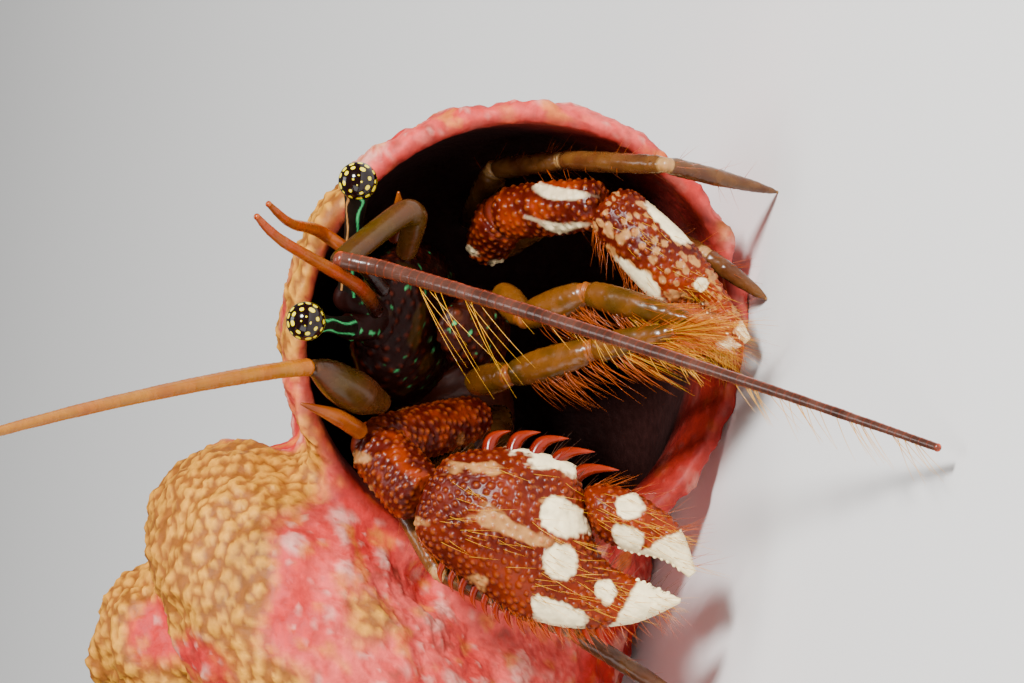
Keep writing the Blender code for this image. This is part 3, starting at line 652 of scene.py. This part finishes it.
# ---- claws ----
def claw_piece(name, rows, claw, spots, style, streaks, tip, slot, knob, seed, counts,
               speckled=()):
    """Palm or movable finger, with its knobs, spots, streaks, specks and white tip."""
    points, flat = blade_grid(rows, claw, *counts)
    points, flat = capped(points, 0.25), capped(flat, 0.0)
    spacing, radius, rise = CLAW_KNOBS
    knobs = domes(points, knob * spacing, knob * radius, seed)
    ragged = (clouds(points, 1.5, seed) - 0.5) * 0.75 + (clouds(points, 6.0, seed) - 0.5) * 0.3
    white = spot_share(flat, place_spots(rows, spots, *style), ragged)
    pale = np.maximum(streak_share(flat, streaks, seed), spot_share(
        flat, place_spots(rows, speckled, *SPECK), ragged * 2.2))
    past = (flat[..., 0] - tip[0] - tip[1] * flat[..., 1] + ragged * 0.5) / 0.12
    white = np.maximum(white, np.clip(past, 0, 1))
    station = np.arange(len(points))
    ends = np.clip(np.minimum(station, station[::-1]) / 6.0, 0, 1)[:, None]
    rust = flat[..., 0] / flat[..., 0].max() * 0.8 + (clouds(points, 0.8, 2.0) - 0.5) * 1.1
    paint = layers(points, DARK_RED, (RUST, np.clip(rust, 0, 1)), (BEIGE, pale * 0.85),
                   (KNOB, np.clip(knobs * 1.4 - 0.75, 0, 0.5)), (CREAM, white))
    return skin(name, points, paint, CHITIN, slot, (name.replace("_skin", ""),),
                knobs * knob * rise * (1 - 0.85 * white) * ends)


def claw_point(claw, along, across, lift):
    origin, way, side, front = claw_frame(claw)
    return origin + way * along + side * across + front * lift


def cones(name, rows, slot, material=GLASSY, sides=10, steps=9, taper=0.75):
    """Hooked cones, blunter as taper falls: (root, tip, radius, two colours, bend)."""
    points, paint, faces = [], [], []
    for root, tip, radius, base, end, bend in rows:
        way = tip - root
        side, up = side_frame(way.normalized(), Vector((0.3, 0.2, 1.0)))
        start = sum(len(p) for p in points)
        rings, tones = [], []
        for i in range(steps):
            share = i / (steps - 1)
            centre = root + way * share + bend * math.sin(math.pi * share)
            size = radius * (1 - share) ** taper + 0.012
            rings.append([centre + side * math.cos(2 * math.pi * j / sides) * size
                          + up * math.sin(2 * math.pi * j / sides) * size
                          for j in range(sides)])
            tones.append([np.array(base) * (1 - share) + np.array(end) * share] * sides)
        grid, tone = closed(np.array(rings), np.array(tones))
        points.append(grid)
        paint.append(tone)
        faces += grid_faces(steps, sides, start)
    return build(name, np.concatenate(points), faces, np.concatenate(paint), material, slot)


def spine_rows(row, swell, lift):
    count, first, last, radius = row
    _, way, side, _ = claw_frame(LARGE_CLAW)
    made = []
    for i in range(count):
        share = i / (count - 1)
        bow = math.sin(math.pi * share) * math.copysign(swell, first[0][1])
        a, b = [(p[0] * (1 - share) + q[0] * share, p[1] * (1 - share) + q[1] * share + bow)
                for p, q in zip(first, last)]
        root = claw_point(LARGE_CLAW, a[0], a[1] - math.copysign(0.1, a[1]), lift)
        tip = claw_point(LARGE_CLAW, b[0], b[1], lift)
        made.append((root, tip, radius, SPINE_RED, SPINE_TIP,
                     way * -radius * 0.9 + side * math.copysign(radius * 0.45, a[1])))
    return made


def teeth(claw, rows, edge, start, end, step, size, lift=0.12):
    """Small rounded white teeth along the inner (0) or the outer (2) edge of a row."""
    path = smooth_rows(rows, 60)
    made, last = [], None
    for row in path:
        along, across = row[edge], row[edge + 1]
        if along < start or along > end or (last is not None and along - last < step):
            continue
        last = along
        push = 1 - edge
        root = claw_point(claw, along, across - push * 0.16, lift)
        tip = claw_point(claw, along + 0.04, across + push * size * 0.55, lift)
        made.append((root, tip, size, CREAM, CREAM, Vector((0, 0, 0))))
    return made


def claws():
    claw_piece("large_claw_palm_skin", LARGE_PALM, LARGE_CLAW, LARGE_SPOTS, LARGE_SPOT,
               LARGE_STREAKS, PALM_TIP, "large_cheliped", 0.185, 11, (316, 290))
    claw_piece("large_claw_finger_skin", LARGE_FINGER, LARGE_CLAW, LARGE_FINGER_SPOTS,
               LARGE_SPOT, NO_STREAKS, FINGER_TIP, "large_cheliped", 0.18, 12, (160, 150))
    claw_piece("small_claw_palm_skin", SMALL_PALM, SMALL_CLAW, SMALL_SPOTS, SMALL_SPOT,
               NO_STREAKS, SMALL_TIP, "small_cheliped", 0.17, 13, (210, 160),
               specks(SPECK_ROWS, random.Random(SEED)))
    claw_piece("small_claw_finger_skin", SMALL_FINGER, SMALL_CLAW, SMALL_FINGER_SPOTS,
               SMALL_SPOT, NO_STREAKS, SMALL_TIP, "small_cheliped", 0.16, 14, (110, 100))
    cones("large_claw_margin_spines", spine_rows(MARGIN_SPINES, MARGIN_SWELL, 0.15),
          "large_cheliped")
    cones("large_claw_outer_spines", spine_rows(OUTER_SPINES, OUTER_SWELL, 0.0),
          "large_cheliped")
    cones("large_claw_teeth", teeth(LARGE_CLAW, LARGE_PALM, 0, 7.95, 9.4, 0.20, 0.12)
          + teeth(LARGE_CLAW, LARGE_FINGER, 2, 7.0, 9.4, 0.20, 0.11), "large_cheliped",
          CHITIN, 8, 8, 0.42)
    cones("small_claw_teeth", teeth(SMALL_CLAW, SMALL_PALM, 2, 5.1, 7.0, 0.22, 0.08)
          + teeth(SMALL_CLAW, SMALL_FINGER, 0, 5.2, 7.0, 0.22, 0.08), "small_cheliped",
          CHITIN, 8, 8, 0.42)


# ---- limbs ----
def limb_looks(stem):
    """Ground, marking and joint colours, material, slot and knob size of a limb."""
    if stem == "large_arm":
        return DARK_RED, RUST, BEIGE, CHITIN, "large_cheliped", 0.18
    if stem == "small_arm":
        return DARK_RED, RUST, CREAM, CHITIN, "small_cheliped", 0.17
    if stem.startswith("maxilliped"):
        return MAXILLIPED_BROWN, OLIVE, AMBER, GLASSY, "maxilliped", 0.0
    return LEG_TAN, BROWN, JOINT_PALE, GLASSY, "walking_leg", 0.0


def limb_piece(stem, index, name, joints, sizes):
    """One segment of a limb; a last one that stands on the floor thins to its tip."""
    ground, mark, joint, material, slot, knob = limb_looks(stem)
    start, end = joints[index], joints[index + 1]
    way = (end - start).normalized()
    foot = end.z == 0.0
    trim = min(0.10, (end - start).length * 0.06)
    first, last = start + way * trim, end - way * (0.0 if foot else trim)
    shares = (0.0, 0.10, 0.45, 0.85, 1.0)
    swell = (0.84, 1.0, 1.05, 1.02, 0.86)
    if stem.startswith("maxilliped"):
        swell = (0.80, 1.10, 1.28, 1.10, 0.70 if name == "dactyl" else 0.85)
    radii = [tuple((a * (1 - s) + b * s) * w for a, b in zip(sizes[index], sizes[index + 1]))
             for s, w in zip(shares, swell)]
    path = [first.lerp(last, s) for s in shares]
    counts = (130, 90) if knob else (80, 40)
    points, share = tube_grid(path, radii, *counts, round_ends=False)
    points = capped(points, 0.0 if foot else 0.18)
    share = np.clip((np.arange(len(points)) - CAP_RINGS) / (counts[0] - 1), 0, 1)
    if foot:
        pinch = np.clip((1 - share) / 0.5, 0.12, 1.0) ** 0.7
        middle = points.mean(1, keepdims=True)
        points = middle + (points - middle) * pinch[:, None, None]
        points[..., 2] = np.maximum(points[..., 2], 0.0)
    mottle = clouds(points, 1.3, index + 4.0)
    height = (clouds(points, 5.0, index) - 0.5) * 0.05
    if knob:
        spacing, radius, lift = ARM_KNOBS
        rise = domes(points, knob * spacing, knob * radius, ARM_SEED + index)
        height = height + rise * knob * lift
        streak = clouds(points * np.array([1.4, 0.6, 0.6]), 1.1, index + 15.0)
        coats = ((KNOB, np.clip(rise * 1.2 - 0.5, 0, 0.7)),
                 (joint, ramp(streak, 0.66, 10, 0.7)))
    else:
        edge = np.minimum(share, 1 - share)[:, None] + 0 * mottle
        coats = ((joint, np.clip((0.07 - edge) / 0.05, 0, 0.55)),)
    paint = layers(points, ground, (mark, ramp(mottle, 0.48, 4, 0.8)), *coats)
    skin(f"{stem}_{name}_skin", points, paint, material, slot, (f"{stem}_{name}",), height)


def joint_skin(stem, index, joints, sizes):
    """The wrinkled soft skin that shows between two segments."""
    here = joints[index]
    before = (here - joints[index - 1]).normalized()
    after = (joints[index + 1] - here).normalized()
    reach = 0.22
    path = [here - before * reach, here, here + after * reach]
    radii = [tuple(v * w for v in sizes[index]) for w in (0.76, 0.80, 0.76)]
    points, share = tube_grid(path, radii, 24, 32)
    fold = np.sin(share * 28.0)[:, None, None] * 0.02
    points = points + grid_normals(points) * fold
    soft, deep = JOINT_PALE, BEIGE
    if stem.startswith("maxilliped"):
        soft, deep = AMBER, MAXILLIPED_BROWN
    elif stem.endswith("arm"):
        soft, deep = RUST, DARK_RED
    paint = layers(points, soft, (deep, clouds(points, 2.0, 6.0)))
    skin(f"{stem}_joint_{index}", points, paint, SOFT_SKIN, limb_looks(stem)[4])


def limbs():
    for stem, (names, joints, sizes) in LIMBS.items():
        joints = [Vector(p) for p in joints]
        for index, name in enumerate(names):
            limb_piece(stem, index, name, joints, sizes)
            if index:
                joint_skin(stem, index, joints, sizes)


# ---- trunk ----
def trunk_grid(stations, count, sides):
    """Rings of the tilted trunk; a station is how far back, half width, half height, level."""
    rows = np.array(smooth_rows(stations, count))
    turn = around(sides)
    belly = np.where(np.sin(turn) > 0, 1.0, 0.9)
    side = MIDLINE + np.cos(turn)[None] * rows[:, 1:2]
    height = rows[:, 3:4] + np.sin(turn)[None] * rows[:, 2:3] * belly[None]
    back = rows[:, :1] + 0 * side
    return np.stack([side, height * math.sin(TILT) + back * math.cos(TILT),
                     height * math.cos(TILT) - back * math.sin(TILT) + TRUNK_LEVEL], 2)


def trunk():
    for name, stations, slot, ground, mark in (
            ("carapace", CARAPACE, "carapace", CARAPACE_DARK, OLIVE),
            ("mouthparts", MOUTHPARTS, "mouthparts", MOUTH_DARK, BROWN)):
        points = capped(trunk_grid(stations, 110, 96), 0.45, 16)
        knobs = domes(points, 0.36, 0.15, TRUNK_SEED)
        mottle, green = clouds(points, 1.2, 8.0), clouds(points, 4.0, 31.0)
        paint = layers(points, ground, (mark, ramp(mottle, 0.63, 8, 0.5)),
                       (MINT, ramp(green, 0.77, 12, 0.7)), (RUST, ramp(knobs, 0.7, 1, 0.25)))
        skin(name + "_skin", points, paint, DARK_CHITIN, slot, (name,),
             knobs * 0.06 + (mottle - 0.5) * 0.10)
    points, share = tube_grid(ABDOMEN, ABDOMEN_RADII, 120, 64)
    folds = np.sin(share * 70.0)[:, None] * 0.04 + (clouds(points, 1.6, 2.0) - 0.5) * 0.12
    paint = layers(points, ABDOMEN_RED, (RUST, clouds(points, 0.9, 12.0) * 0.4))
    skin("abdomen_skin", points, paint, SOFT_SKIN, "abdomen", ("abdomen",), folds)


# ---- head ----
EYE_RINGS = ((1.16, 13, 0.125), (0.72, 8, 0.115), (0.25, 4, 0.045))  # angle, spots, size
EYE_FRONT = Vector((0.0, -0.97, 0.24)).normalized()     # the middle of the eye's pattern
# where both ocular bases meet, just inside the front of the carapace
EYE_BASE_END = Vector((MIDLINE, CARAPACE[1][3] * math.sin(TILT) + CARAPACE[1][0] * math.cos(TILT),
                       CARAPACE[1][3] * math.cos(TILT) - CARAPACE[1][0] * math.sin(TILT)
                       + TRUNK_LEVEL))
STRIPE_START = {"left": 2.4, "right": 3.9}      # radians round the stalk
RING_LENGTH = 0.36                              # of an antenna's flagellum


def nearest_turn(angle):
    """The same turn between minus and plus half a turn."""
    return np.mod(angle + math.pi, 2 * math.pi) - math.pi


def eye(side, root, way):
    axis = Vector(way).normalized()
    centre = Vector(root) + axis * STALK_LENGTH
    across, up = (np.array(v) for v in side_frame(axis, Vector((0.2, 0.1, 1.0))))
    rows, sides = 150, 200
    polar = np.linspace(0.01, math.acos(-EYE_FLAT), rows)[:, None]
    turn = around(sides)[None]
    ball = ((np.sin(polar) * np.cos(turn))[..., None] * across
            + (np.sin(polar) * np.sin(turn))[..., None] * up
            + (np.cos(polar) + 0 * turn)[..., None] * np.array(axis))
    first, second = (np.array(v) for v in side_frame(EYE_FRONT, Vector((1.0, 0.0, 0.0))))
    tilt = np.arccos(np.clip(ball @ np.array(EYE_FRONT), -1, 1))
    spin = np.arctan2(ball @ second, ball @ first)
    spots = np.zeros((rows, sides))
    dice = random.Random(SEED + len(side))
    for ring, (angle, count, size) in enumerate(EYE_RINGS):
        for k in range(count):
            place = 2.0 * math.pi * (k + 0.5 * (ring % 2) + dice.uniform(-0.12, 0.12)) / count
            wide = size * dice.uniform(0.70, 1.20)
            du = (tilt - angle - dice.uniform(-0.05, 0.05)) / wide
            dv = (nearest_turn(spin - place) * math.sin(angle)
                  / (wide * dice.uniform(0.95, 1.35)))
            inside = ramp(np.abs(du) ** 2.6 + np.abs(dv) ** 2.6, 1.0, -4)
            spots = np.maximum(spots, inside)
    rim = np.clip(1 - np.abs(tilt - 1.43) / 0.05, 0, 1)
    paint = layers(ball, BLACK, (PALE_YELLOW, np.maximum(spots, rim * 0.7)))
    skin(f"eye_{side}_cornea", np.array(centre) + ball * CORNEA, paint, EYE_GLASS, "cornea",
         (f"eye_{side}",))


def eye_base(side, root, way):
    """The dark ocular base that joins a stalk to the front of the carapace."""
    back = EYE_BASE_END - Vector(root)
    path = [Vector(root) + Vector(way).normalized() * 0.5, Vector(root),
            Vector(root) + back * 0.5, EYE_BASE_END.copy()]
    points = tube_grid(path, (0.30, 0.50, 0.62, 0.55), 60, 48)[0]
    paint = layers(points, CARAPACE_DARK, (MINT, ramp(clouds(points, 4.0, 31.0), 0.74, 12, 0.7)))
    skin(f"eyestalk_{side}_base", points, paint, DARK_CHITIN, "eyestalk",
         height=(clouds(points, 2.0, 5.0) - 0.5) * 0.12)


def stalk(side, root, way):
    axis = Vector(way).normalized()
    reach = STALK_LENGTH - CORNEA * EYE_FLAT - 0.02
    path = [Vector(root) + axis * reach * s for s in (0.0, 0.45, 0.85, 1.0)]
    points, share = tube_grid(path, STALK_RADII, 130, 60)
    turn = around(60)[None]
    paint = layers(points, STALK_DARK)
    tones = {"left": (BEIGE, MINT), "right": (MINT, MINT)}[side]
    for k, tone in enumerate(tones):
        wave = STRIPE_START[side] + 1.3 * k + 0.16 * np.sin(share * 16.0 + k)[:, None]
        gap = np.abs(nearest_turn(turn - wave))
        paint = blend(paint, tone, np.clip((0.15 - gap) / 0.07, 0, 1))
    paint = blend(paint, BLACK, np.clip((share - 0.94) / 0.03, 0, 1)[:, None] + 0 * turn)
    skin(f"eyestalk_{side}_skin", points, paint, DARK_CHITIN, "eyestalk",
         (f"eyestalk_{side}",))


def simple_tube(name, path, radii, tones, slot, rings=0, counts=(110, 40), dark_root=0.0):
    """A glossy tube of mixed colour, with raised rings where it is jointed.

    dark_root is the share of its length over which it fades from the head's colour.
    """
    points, share = tube_grid(path, radii, *counts, round_ends=False)
    points = capped(points, 0.9)
    share = np.clip((np.arange(len(points)) - CAP_RINGS) / (counts[0] - 1), 0, 1)
    mottle = clouds(points, 1.1, 3.0)
    paint = layers(points, tones[0], (tones[1], ramp(mottle, 0.3, 1.6)))
    height = (mottle - 0.5) * 0.03
    if rings:
        band = np.abs(np.mod(share * rings, 1.0) - 0.5) * 2.0
        edge = np.clip((band - 0.80) / 0.2, 0, 1)[:, None] + 0 * mottle
        height = height + (edge - 0.4) * 0.010
        margin = np.abs(np.cos(around(counts[1])))
        margin = np.clip((margin - 0.80) / 0.15, 0, 1)[None] + 0 * mottle
        paint = blend(paint, tones[2], np.clip(edge * 0.15 + margin * (0.25 + 0.75 * edge), 0, 1))
    if dark_root:
        fade = np.clip(1.3 - share / dark_root, 0, 1)[:, None] + 0 * mottle
        paint = blend(paint, CARAPACE_DARK, fade)
    return skin(name + "_skin", points, paint, GLASSY, slot, (name,), height)


def flagellum_path(root, length, heading, pitches, count=120):
    start, middle, end = (math.radians(pitch) for pitch in pitches)
    heading = math.radians(heading)
    point = Vector(root)
    points, radii = [point.copy()], [FLAGELLUM_RADII[0]]
    for i in range(count):
        reach = length * (i + 0.5) / count
        pitch = (middle + (end - middle) * reach / length
                 + (start - middle) * math.exp(-reach / FLAGELLUM_BEND))
        level = math.cos(pitch)
        way = Vector((-math.sin(heading) * level, -math.cos(heading) * level,
                      math.sin(pitch)))
        point = point + way * (length / count)
        share = reach / length
        points.append(point.copy())
        radii.append(FLAGELLUM_RADII[0] * (1 - share) + FLAGELLUM_RADII[1] * share)
    return points, radii


def tapered(radii, end):
    """The same radii, thinning towards a share of their size at the tip."""
    last = len(radii) - 1
    return tuple(r * (1 - (1 - end) * (i / last) ** 2) for i, r in enumerate(radii))


def head():
    """Eyes, stalks, antennules, acicles and both parts of the antennae."""
    for side in ("left", "right"):
        eye(side, *EYES[side])
        stalk(side, *EYES[side])
        eye_base(side, *EYES[side])
        path, radii = ANTENNULES[side]
        simple_tube("antennule_" + side, path, tapered(radii, 0.45), (AMBER, ORANGE, RUST),
                    "antennule", 9, dark_root=0.40)
        simple_tube("antenna_peduncle_" + side, *PEDUNCLES[side], (OLIVE, BROWN, BROWN),
                    "antenna", 0)
        path, radii = ACICLES[side]
        simple_tube("acicle_" + side, path, tapered(radii, 0.22), (AMBER, SPINE_RED, RUST),
                    "acicle")
        path, radii = flagellum_path(*FLAGELLA[side])
        length = FLAGELLA[side][1]
        tones = ((WHIP_CLEAR, WHIP_DEEP, WHIP_EDGE) if side == "left"
                 else (HONEY, AMBER, AMBER))
        simple_tube("antenna_flagellum_" + side, path, radii, tones, "antenna",
                    round(length / RING_LENGTH), (round(length / RING_LENGTH) * 9, 24))


# ---- setae ----
def setae(name, rows, slot, radius=0.018, steps=7):
    """Thin tapering bristles: (root, direction with its length, droop, colour)."""
    points, paint, faces, places = [], [], [], []
    for root, reach, droop, tone in rows:
        start = len(points)
        side, up = side_frame(reach.normalized(), Vector((0.31, 0.83, 0.46)))
        for i in range(steps):
            share = i / (steps - 1)
            centre = root + reach * share + Vector((0, 0, -droop)) * share * share
            size = radius * (1 - share * 0.85)
            for j in range(3):
                turn = 2.0 * math.pi * j / 3
                points.append(centre + side * math.cos(turn) * size + up * math.sin(turn) * size)
                paint.append(np.array(tone) * (0.85 + 0.4 * share))
        for i in range(steps - 1):
            for j in range(3):
                a, b = start + i * 3, start + i * 3 + 3
                faces.append((a + j, a + (j + 1) % 3, b + (j + 1) % 3, b + j))
        faces.append((start + 2, start + 1, start))
        last = start + (steps - 1) * 3
        faces.append((last, last + 1, last + 2))
        places.append(len(faces))
    piece = build(name, np.array([tuple(p) for p in points]), faces, np.array(paint), HAIR,
                  slot)
    bake_patches(piece, rows, places)
    return piece


PATCH = 0.003           # the size of a bristle's patch in the map


def bake_patches(piece, rows, places):
    """Gives each bristle a small patch where its root lies on the skin, unrolled.

    The skin is unrolled as a sleeve about the piece's own long axis: one coordinate
    runs along that axis and the other is the turn about it.
    """
    layer = piece.data.uv_layers.new(name="OFBake")
    roots = np.array([tuple(row[0]) for row in rows])
    roots = roots - roots.mean(0)
    axes = np.linalg.svd(roots, full_matrices=False)[2]
    along, left, up = (roots @ axis for axis in axes)
    share = (along - along.min()) / max(np.ptp(along), 1e-6)
    turn = np.arctan2(up, left) / (2.0 * np.pi) + 0.5
    unit = 0.02 + 0.95 * np.stack([share, turn], 1)
    bristle = 0
    for face in piece.data.polygons:
        while face.index >= places[bristle]:
            bristle += 1
        u, v = unit[bristle]
        for n, loop in enumerate(face.loop_indices):
            layer.data[loop].uv = (u + PATCH * (n in (1, 2)), v + PATCH * (n in (2, 3)))


def drawn(dice, *ranges):
    """A vector whose coordinates are drawn between the limits given in pairs."""
    return Vector([dice.uniform(*ranges[k:k + 2]) for k in (0, 2, 4)])


def along_path(path, start, end, count, dice):
    """Random places on a path of points, between two shares of it."""
    for _ in range(count):
        where = (start + (end - start) * dice.random()) * (len(path) - 1)
        k = min(int(where), len(path) - 2)
        yield path[k].lerp(path[k + 1], where - k), (path[k + 1] - path[k]).normalized()


def claw_setae(claw, stations, margin, count, length, tone, dice, slant=0.9):
    """Bristles from a claw's inner (0) or outer (2) margin, slanting towards its tip."""
    sign = 1 - margin
    _, way, side, front = claw_frame(claw)
    made = []
    path = smooth_rows(stations, 60)
    for _ in range(count):
        row = path[dice.randrange(4, 58)]
        lift = dice.uniform(-0.3, 0.5)
        root = claw_point(claw, row[margin], row[margin + 1] - sign * 0.08, lift)
        reach = (side * sign * dice.uniform(0.5, 1.0) + way * slant * dice.uniform(0.3, 1.2)
                 + front * dice.uniform(-0.4, 0.7)).normalized()
        made.append((root, reach * length * dice.uniform(0.6, 1.2), length * 0.08, tone))
    return made


def face_setae(claw, stations, count, length, tone, dice):
    """Sparse bristles over the front of a claw."""
    _, way, side, front = claw_frame(claw)
    path = smooth_rows(stations, 60)
    made = []
    for _ in range(count):
        row = path[dice.randrange(8, 56)]
        share = dice.uniform(0.12, 0.88)
        along = row[0] * share + row[2] * (1 - share)
        across = row[1] * share + row[3] * (1 - share)
        lift = row[4] * math.sqrt(1 - (2 * share - 1) ** 2) * 0.97
        reach = (front * 0.7 + way * dice.uniform(0.5, 1.0)
                 + side * dice.uniform(-0.3, 0.3)).normalized()
        made.append((claw_point(claw, along, across, lift),
                     reach * length * dice.uniform(0.6, 1.3), length * 0.2, tone))
    return made


# of the left antenna: from and to (shares of its length), how many, shortest, longest
WHIP_SETAE = ((0.10, 0.24, 11, 3.0, 5.0), (0.24, 0.60, 26, 0.6, 1.4),
              (0.62, 0.97, 34, 1.4, 2.0))


def hairs():
    dice = random.Random(SEED)
    rows = (claw_setae(LARGE_CLAW, LARGE_PALM, 2, 170, 1.0, HAIR_ORANGE, dice, 1.2)
            + claw_setae(LARGE_CLAW, LARGE_PALM, 0, 70, 1.0, HAIR_DARK, dice, 0.4)
            + claw_setae(LARGE_CLAW, LARGE_FINGER, 0, 38, 1.2, HAIR_ORANGE, dice, 1.3)
            + face_setae(LARGE_CLAW, LARGE_PALM, 110, 1.3, GOLD, dice)
            + face_setae(LARGE_CLAW, LARGE_FINGER, 50, 1.5, GOLD, dice))
    setae("large_claw_setae", rows, "large_cheliped", 0.011)
    rows = (claw_setae(SMALL_CLAW, SMALL_PALM, 2, 150, 1.1, HAIR_ORANGE, dice)
            + claw_setae(SMALL_CLAW, SMALL_FINGER, 2, 90, 1.3, GOLD, dice)
            + face_setae(SMALL_CLAW, SMALL_PALM, 70, 0.8, GOLD, dice))
    setae("small_claw_setae", rows, "small_cheliped", 0.011)
    path, _ = flagellum_path(*FLAGELLA["left"])
    rows = []
    for start, end, count, low_reach, high_reach in WHIP_SETAE:
        for root, way in along_path(path, start, end, count, dice):
            reach = drawn(dice, -1.0, -0.5, -0.3, 0.1, -0.3, 0.3).normalized() + way * 0.9
            length = dice.uniform(low_reach, high_reach)
            rows.append((root, reach.normalized() * length, length * 0.12, GOLD))
    setae("antenna_left_setae", rows, "antenna", 0.018)
    for stem, count, length in (("maxilliped_left", 420, 2.6), ("maxilliped_right", 420, 2.8)):
        joints = [Vector(p) for p in LIMBS[stem][1]]
        rows = []
        for root, way in along_path(joints, 0.72, 1.0, count, dice):
            reach = (way * 1.1 + drawn(dice, -0.9, 0.4, -0.5, 0.3, -0.9, 0.2)).normalized()
            rows.append((root + reach * 0.2, reach * length * dice.uniform(0.5, 1.2), 0.1,
                         HAIR_ORANGE if dice.random() < 0.6 else GOLD))
        for root, way in along_path(joints, 0.40, 0.80, 90, dice):
            down = Vector((-1.0, dice.uniform(-0.7, 0.5), dice.uniform(-0.8, 0.4))).normalized()
            rows.append((root + down * 0.4, (down + way * 0.6) * dice.uniform(0.5, 1.8), 0.6,
                         HAIR_ORANGE))
        setae(stem + "_setae", rows, "maxilliped", 0.012)
    for stem, (_, joints, _) in LIMBS.items():
        if not stem.startswith("walking"):
            continue
        rows = []
        for root, way in along_path([Vector(p) for p in joints], 0.2, 0.93, 70, dice):
            spin = drawn(dice, -1, 1, -1, 1, -1, 1)
            side = (spin - way * spin.dot(way)).normalized()
            reach = (side + way * 0.8).normalized() * dice.uniform(0.5, 1.1)
            rows.append((root + side * 0.28, reach, 0.04, HAIR_ORANGE))
        setae(stem + "_setae", rows, "walking_leg", 0.011)


# ---- stage, light and camera ----
FLOOR_RADIUS, FLOOR_LEVEL = 6.0, -0.00002


def stage():
    """A wide pale floor."""
    mesh = bpy.data.meshes.new("studio_floor")
    body = bmesh.new()
    bmesh.ops.create_circle(body, cap_ends=True, segments=64, radius=FLOOR_RADIUS,
                            matrix=Matrix.Translation((0.0, 0.0, FLOOR_LEVEL)))
    body.to_mesh(mesh)
    body.free()
    pale, _, shader = new_material("studio_floor")
    setting(shader, Base_Color=(*FLOOR_PALE, 1.0), Roughness=0.8)
    mesh.materials.append(pale)
    floor = linked("studio_floor", mesh)


CAMERA_DROP = math.radians(14.0)    # the camera looks down this much
CAMERA_ROLL = math.radians(8.0)     # away from being turned a quarter turn
CAMERA_REACH, CAMERA_LENS, CAMERA_AIM = 170.0, 170.0, Vector((0.0, 0.0, 9.8))


def camera():
    """A camera on its side, so that the crab's left is up in the picture."""
    look = Vector((0.0, math.cos(CAMERA_DROP), -math.sin(CAMERA_DROP)))
    lift = Vector((0.0, math.sin(CAMERA_DROP), math.cos(CAMERA_DROP)))
    side = Vector((1.0, 0.0, 0.0))
    right = -(lift * math.cos(CAMERA_ROLL) - side * math.sin(CAMERA_ROLL))
    up = lift * math.sin(CAMERA_ROLL) + side * math.cos(CAMERA_ROLL)
    turn = Matrix((right, up, -look)).transposed().to_4x4()
    data = bpy.data.cameras.new("camera")
    data.sensor_width, data.lens, data.clip_start = 36.0, CAMERA_LENS, 0.001
    eye_point = linked("camera", data)
    place = (CAMERA_AIM - look * CAMERA_REACH + SHIFT) * MM
    eye_point.matrix_world = Matrix.Translation(place) @ turn
    bpy.context.scene.camera = eye_point


LAMPS = (("key", (0.14, -0.20, 0.20), 0.05, 2.4), ("fill", (-0.20, -0.18, 0.10), 0.16, 0.30),
         ("top", (0.0, 0.05, 0.30), 0.12, 0.35))     # place and size in metres, watts


def lamp(name, place, size, power):
    data = bpy.data.lights.new(name, "AREA")
    data.size, data.energy = size, power
    made = linked(name, data)
    made.location = place
    made.rotation_mode = "QUATERNION"
    made.rotation_quaternion = (-Vector(place)).to_track_quat("-Z", "Y")


def lights():
    for row in LAMPS:
        lamp(*row)
    world = bpy.data.worlds.new("studio")
    world.use_nodes = True
    setting(world.node_tree.nodes["Background"], Color=(*SKY_PALE, 1.0), Strength=0.17)
    bpy.context.scene.world = world


camera()
lights()
stage()
shell_piece()
trunk()
head()
claws()
limbs()
hairs()
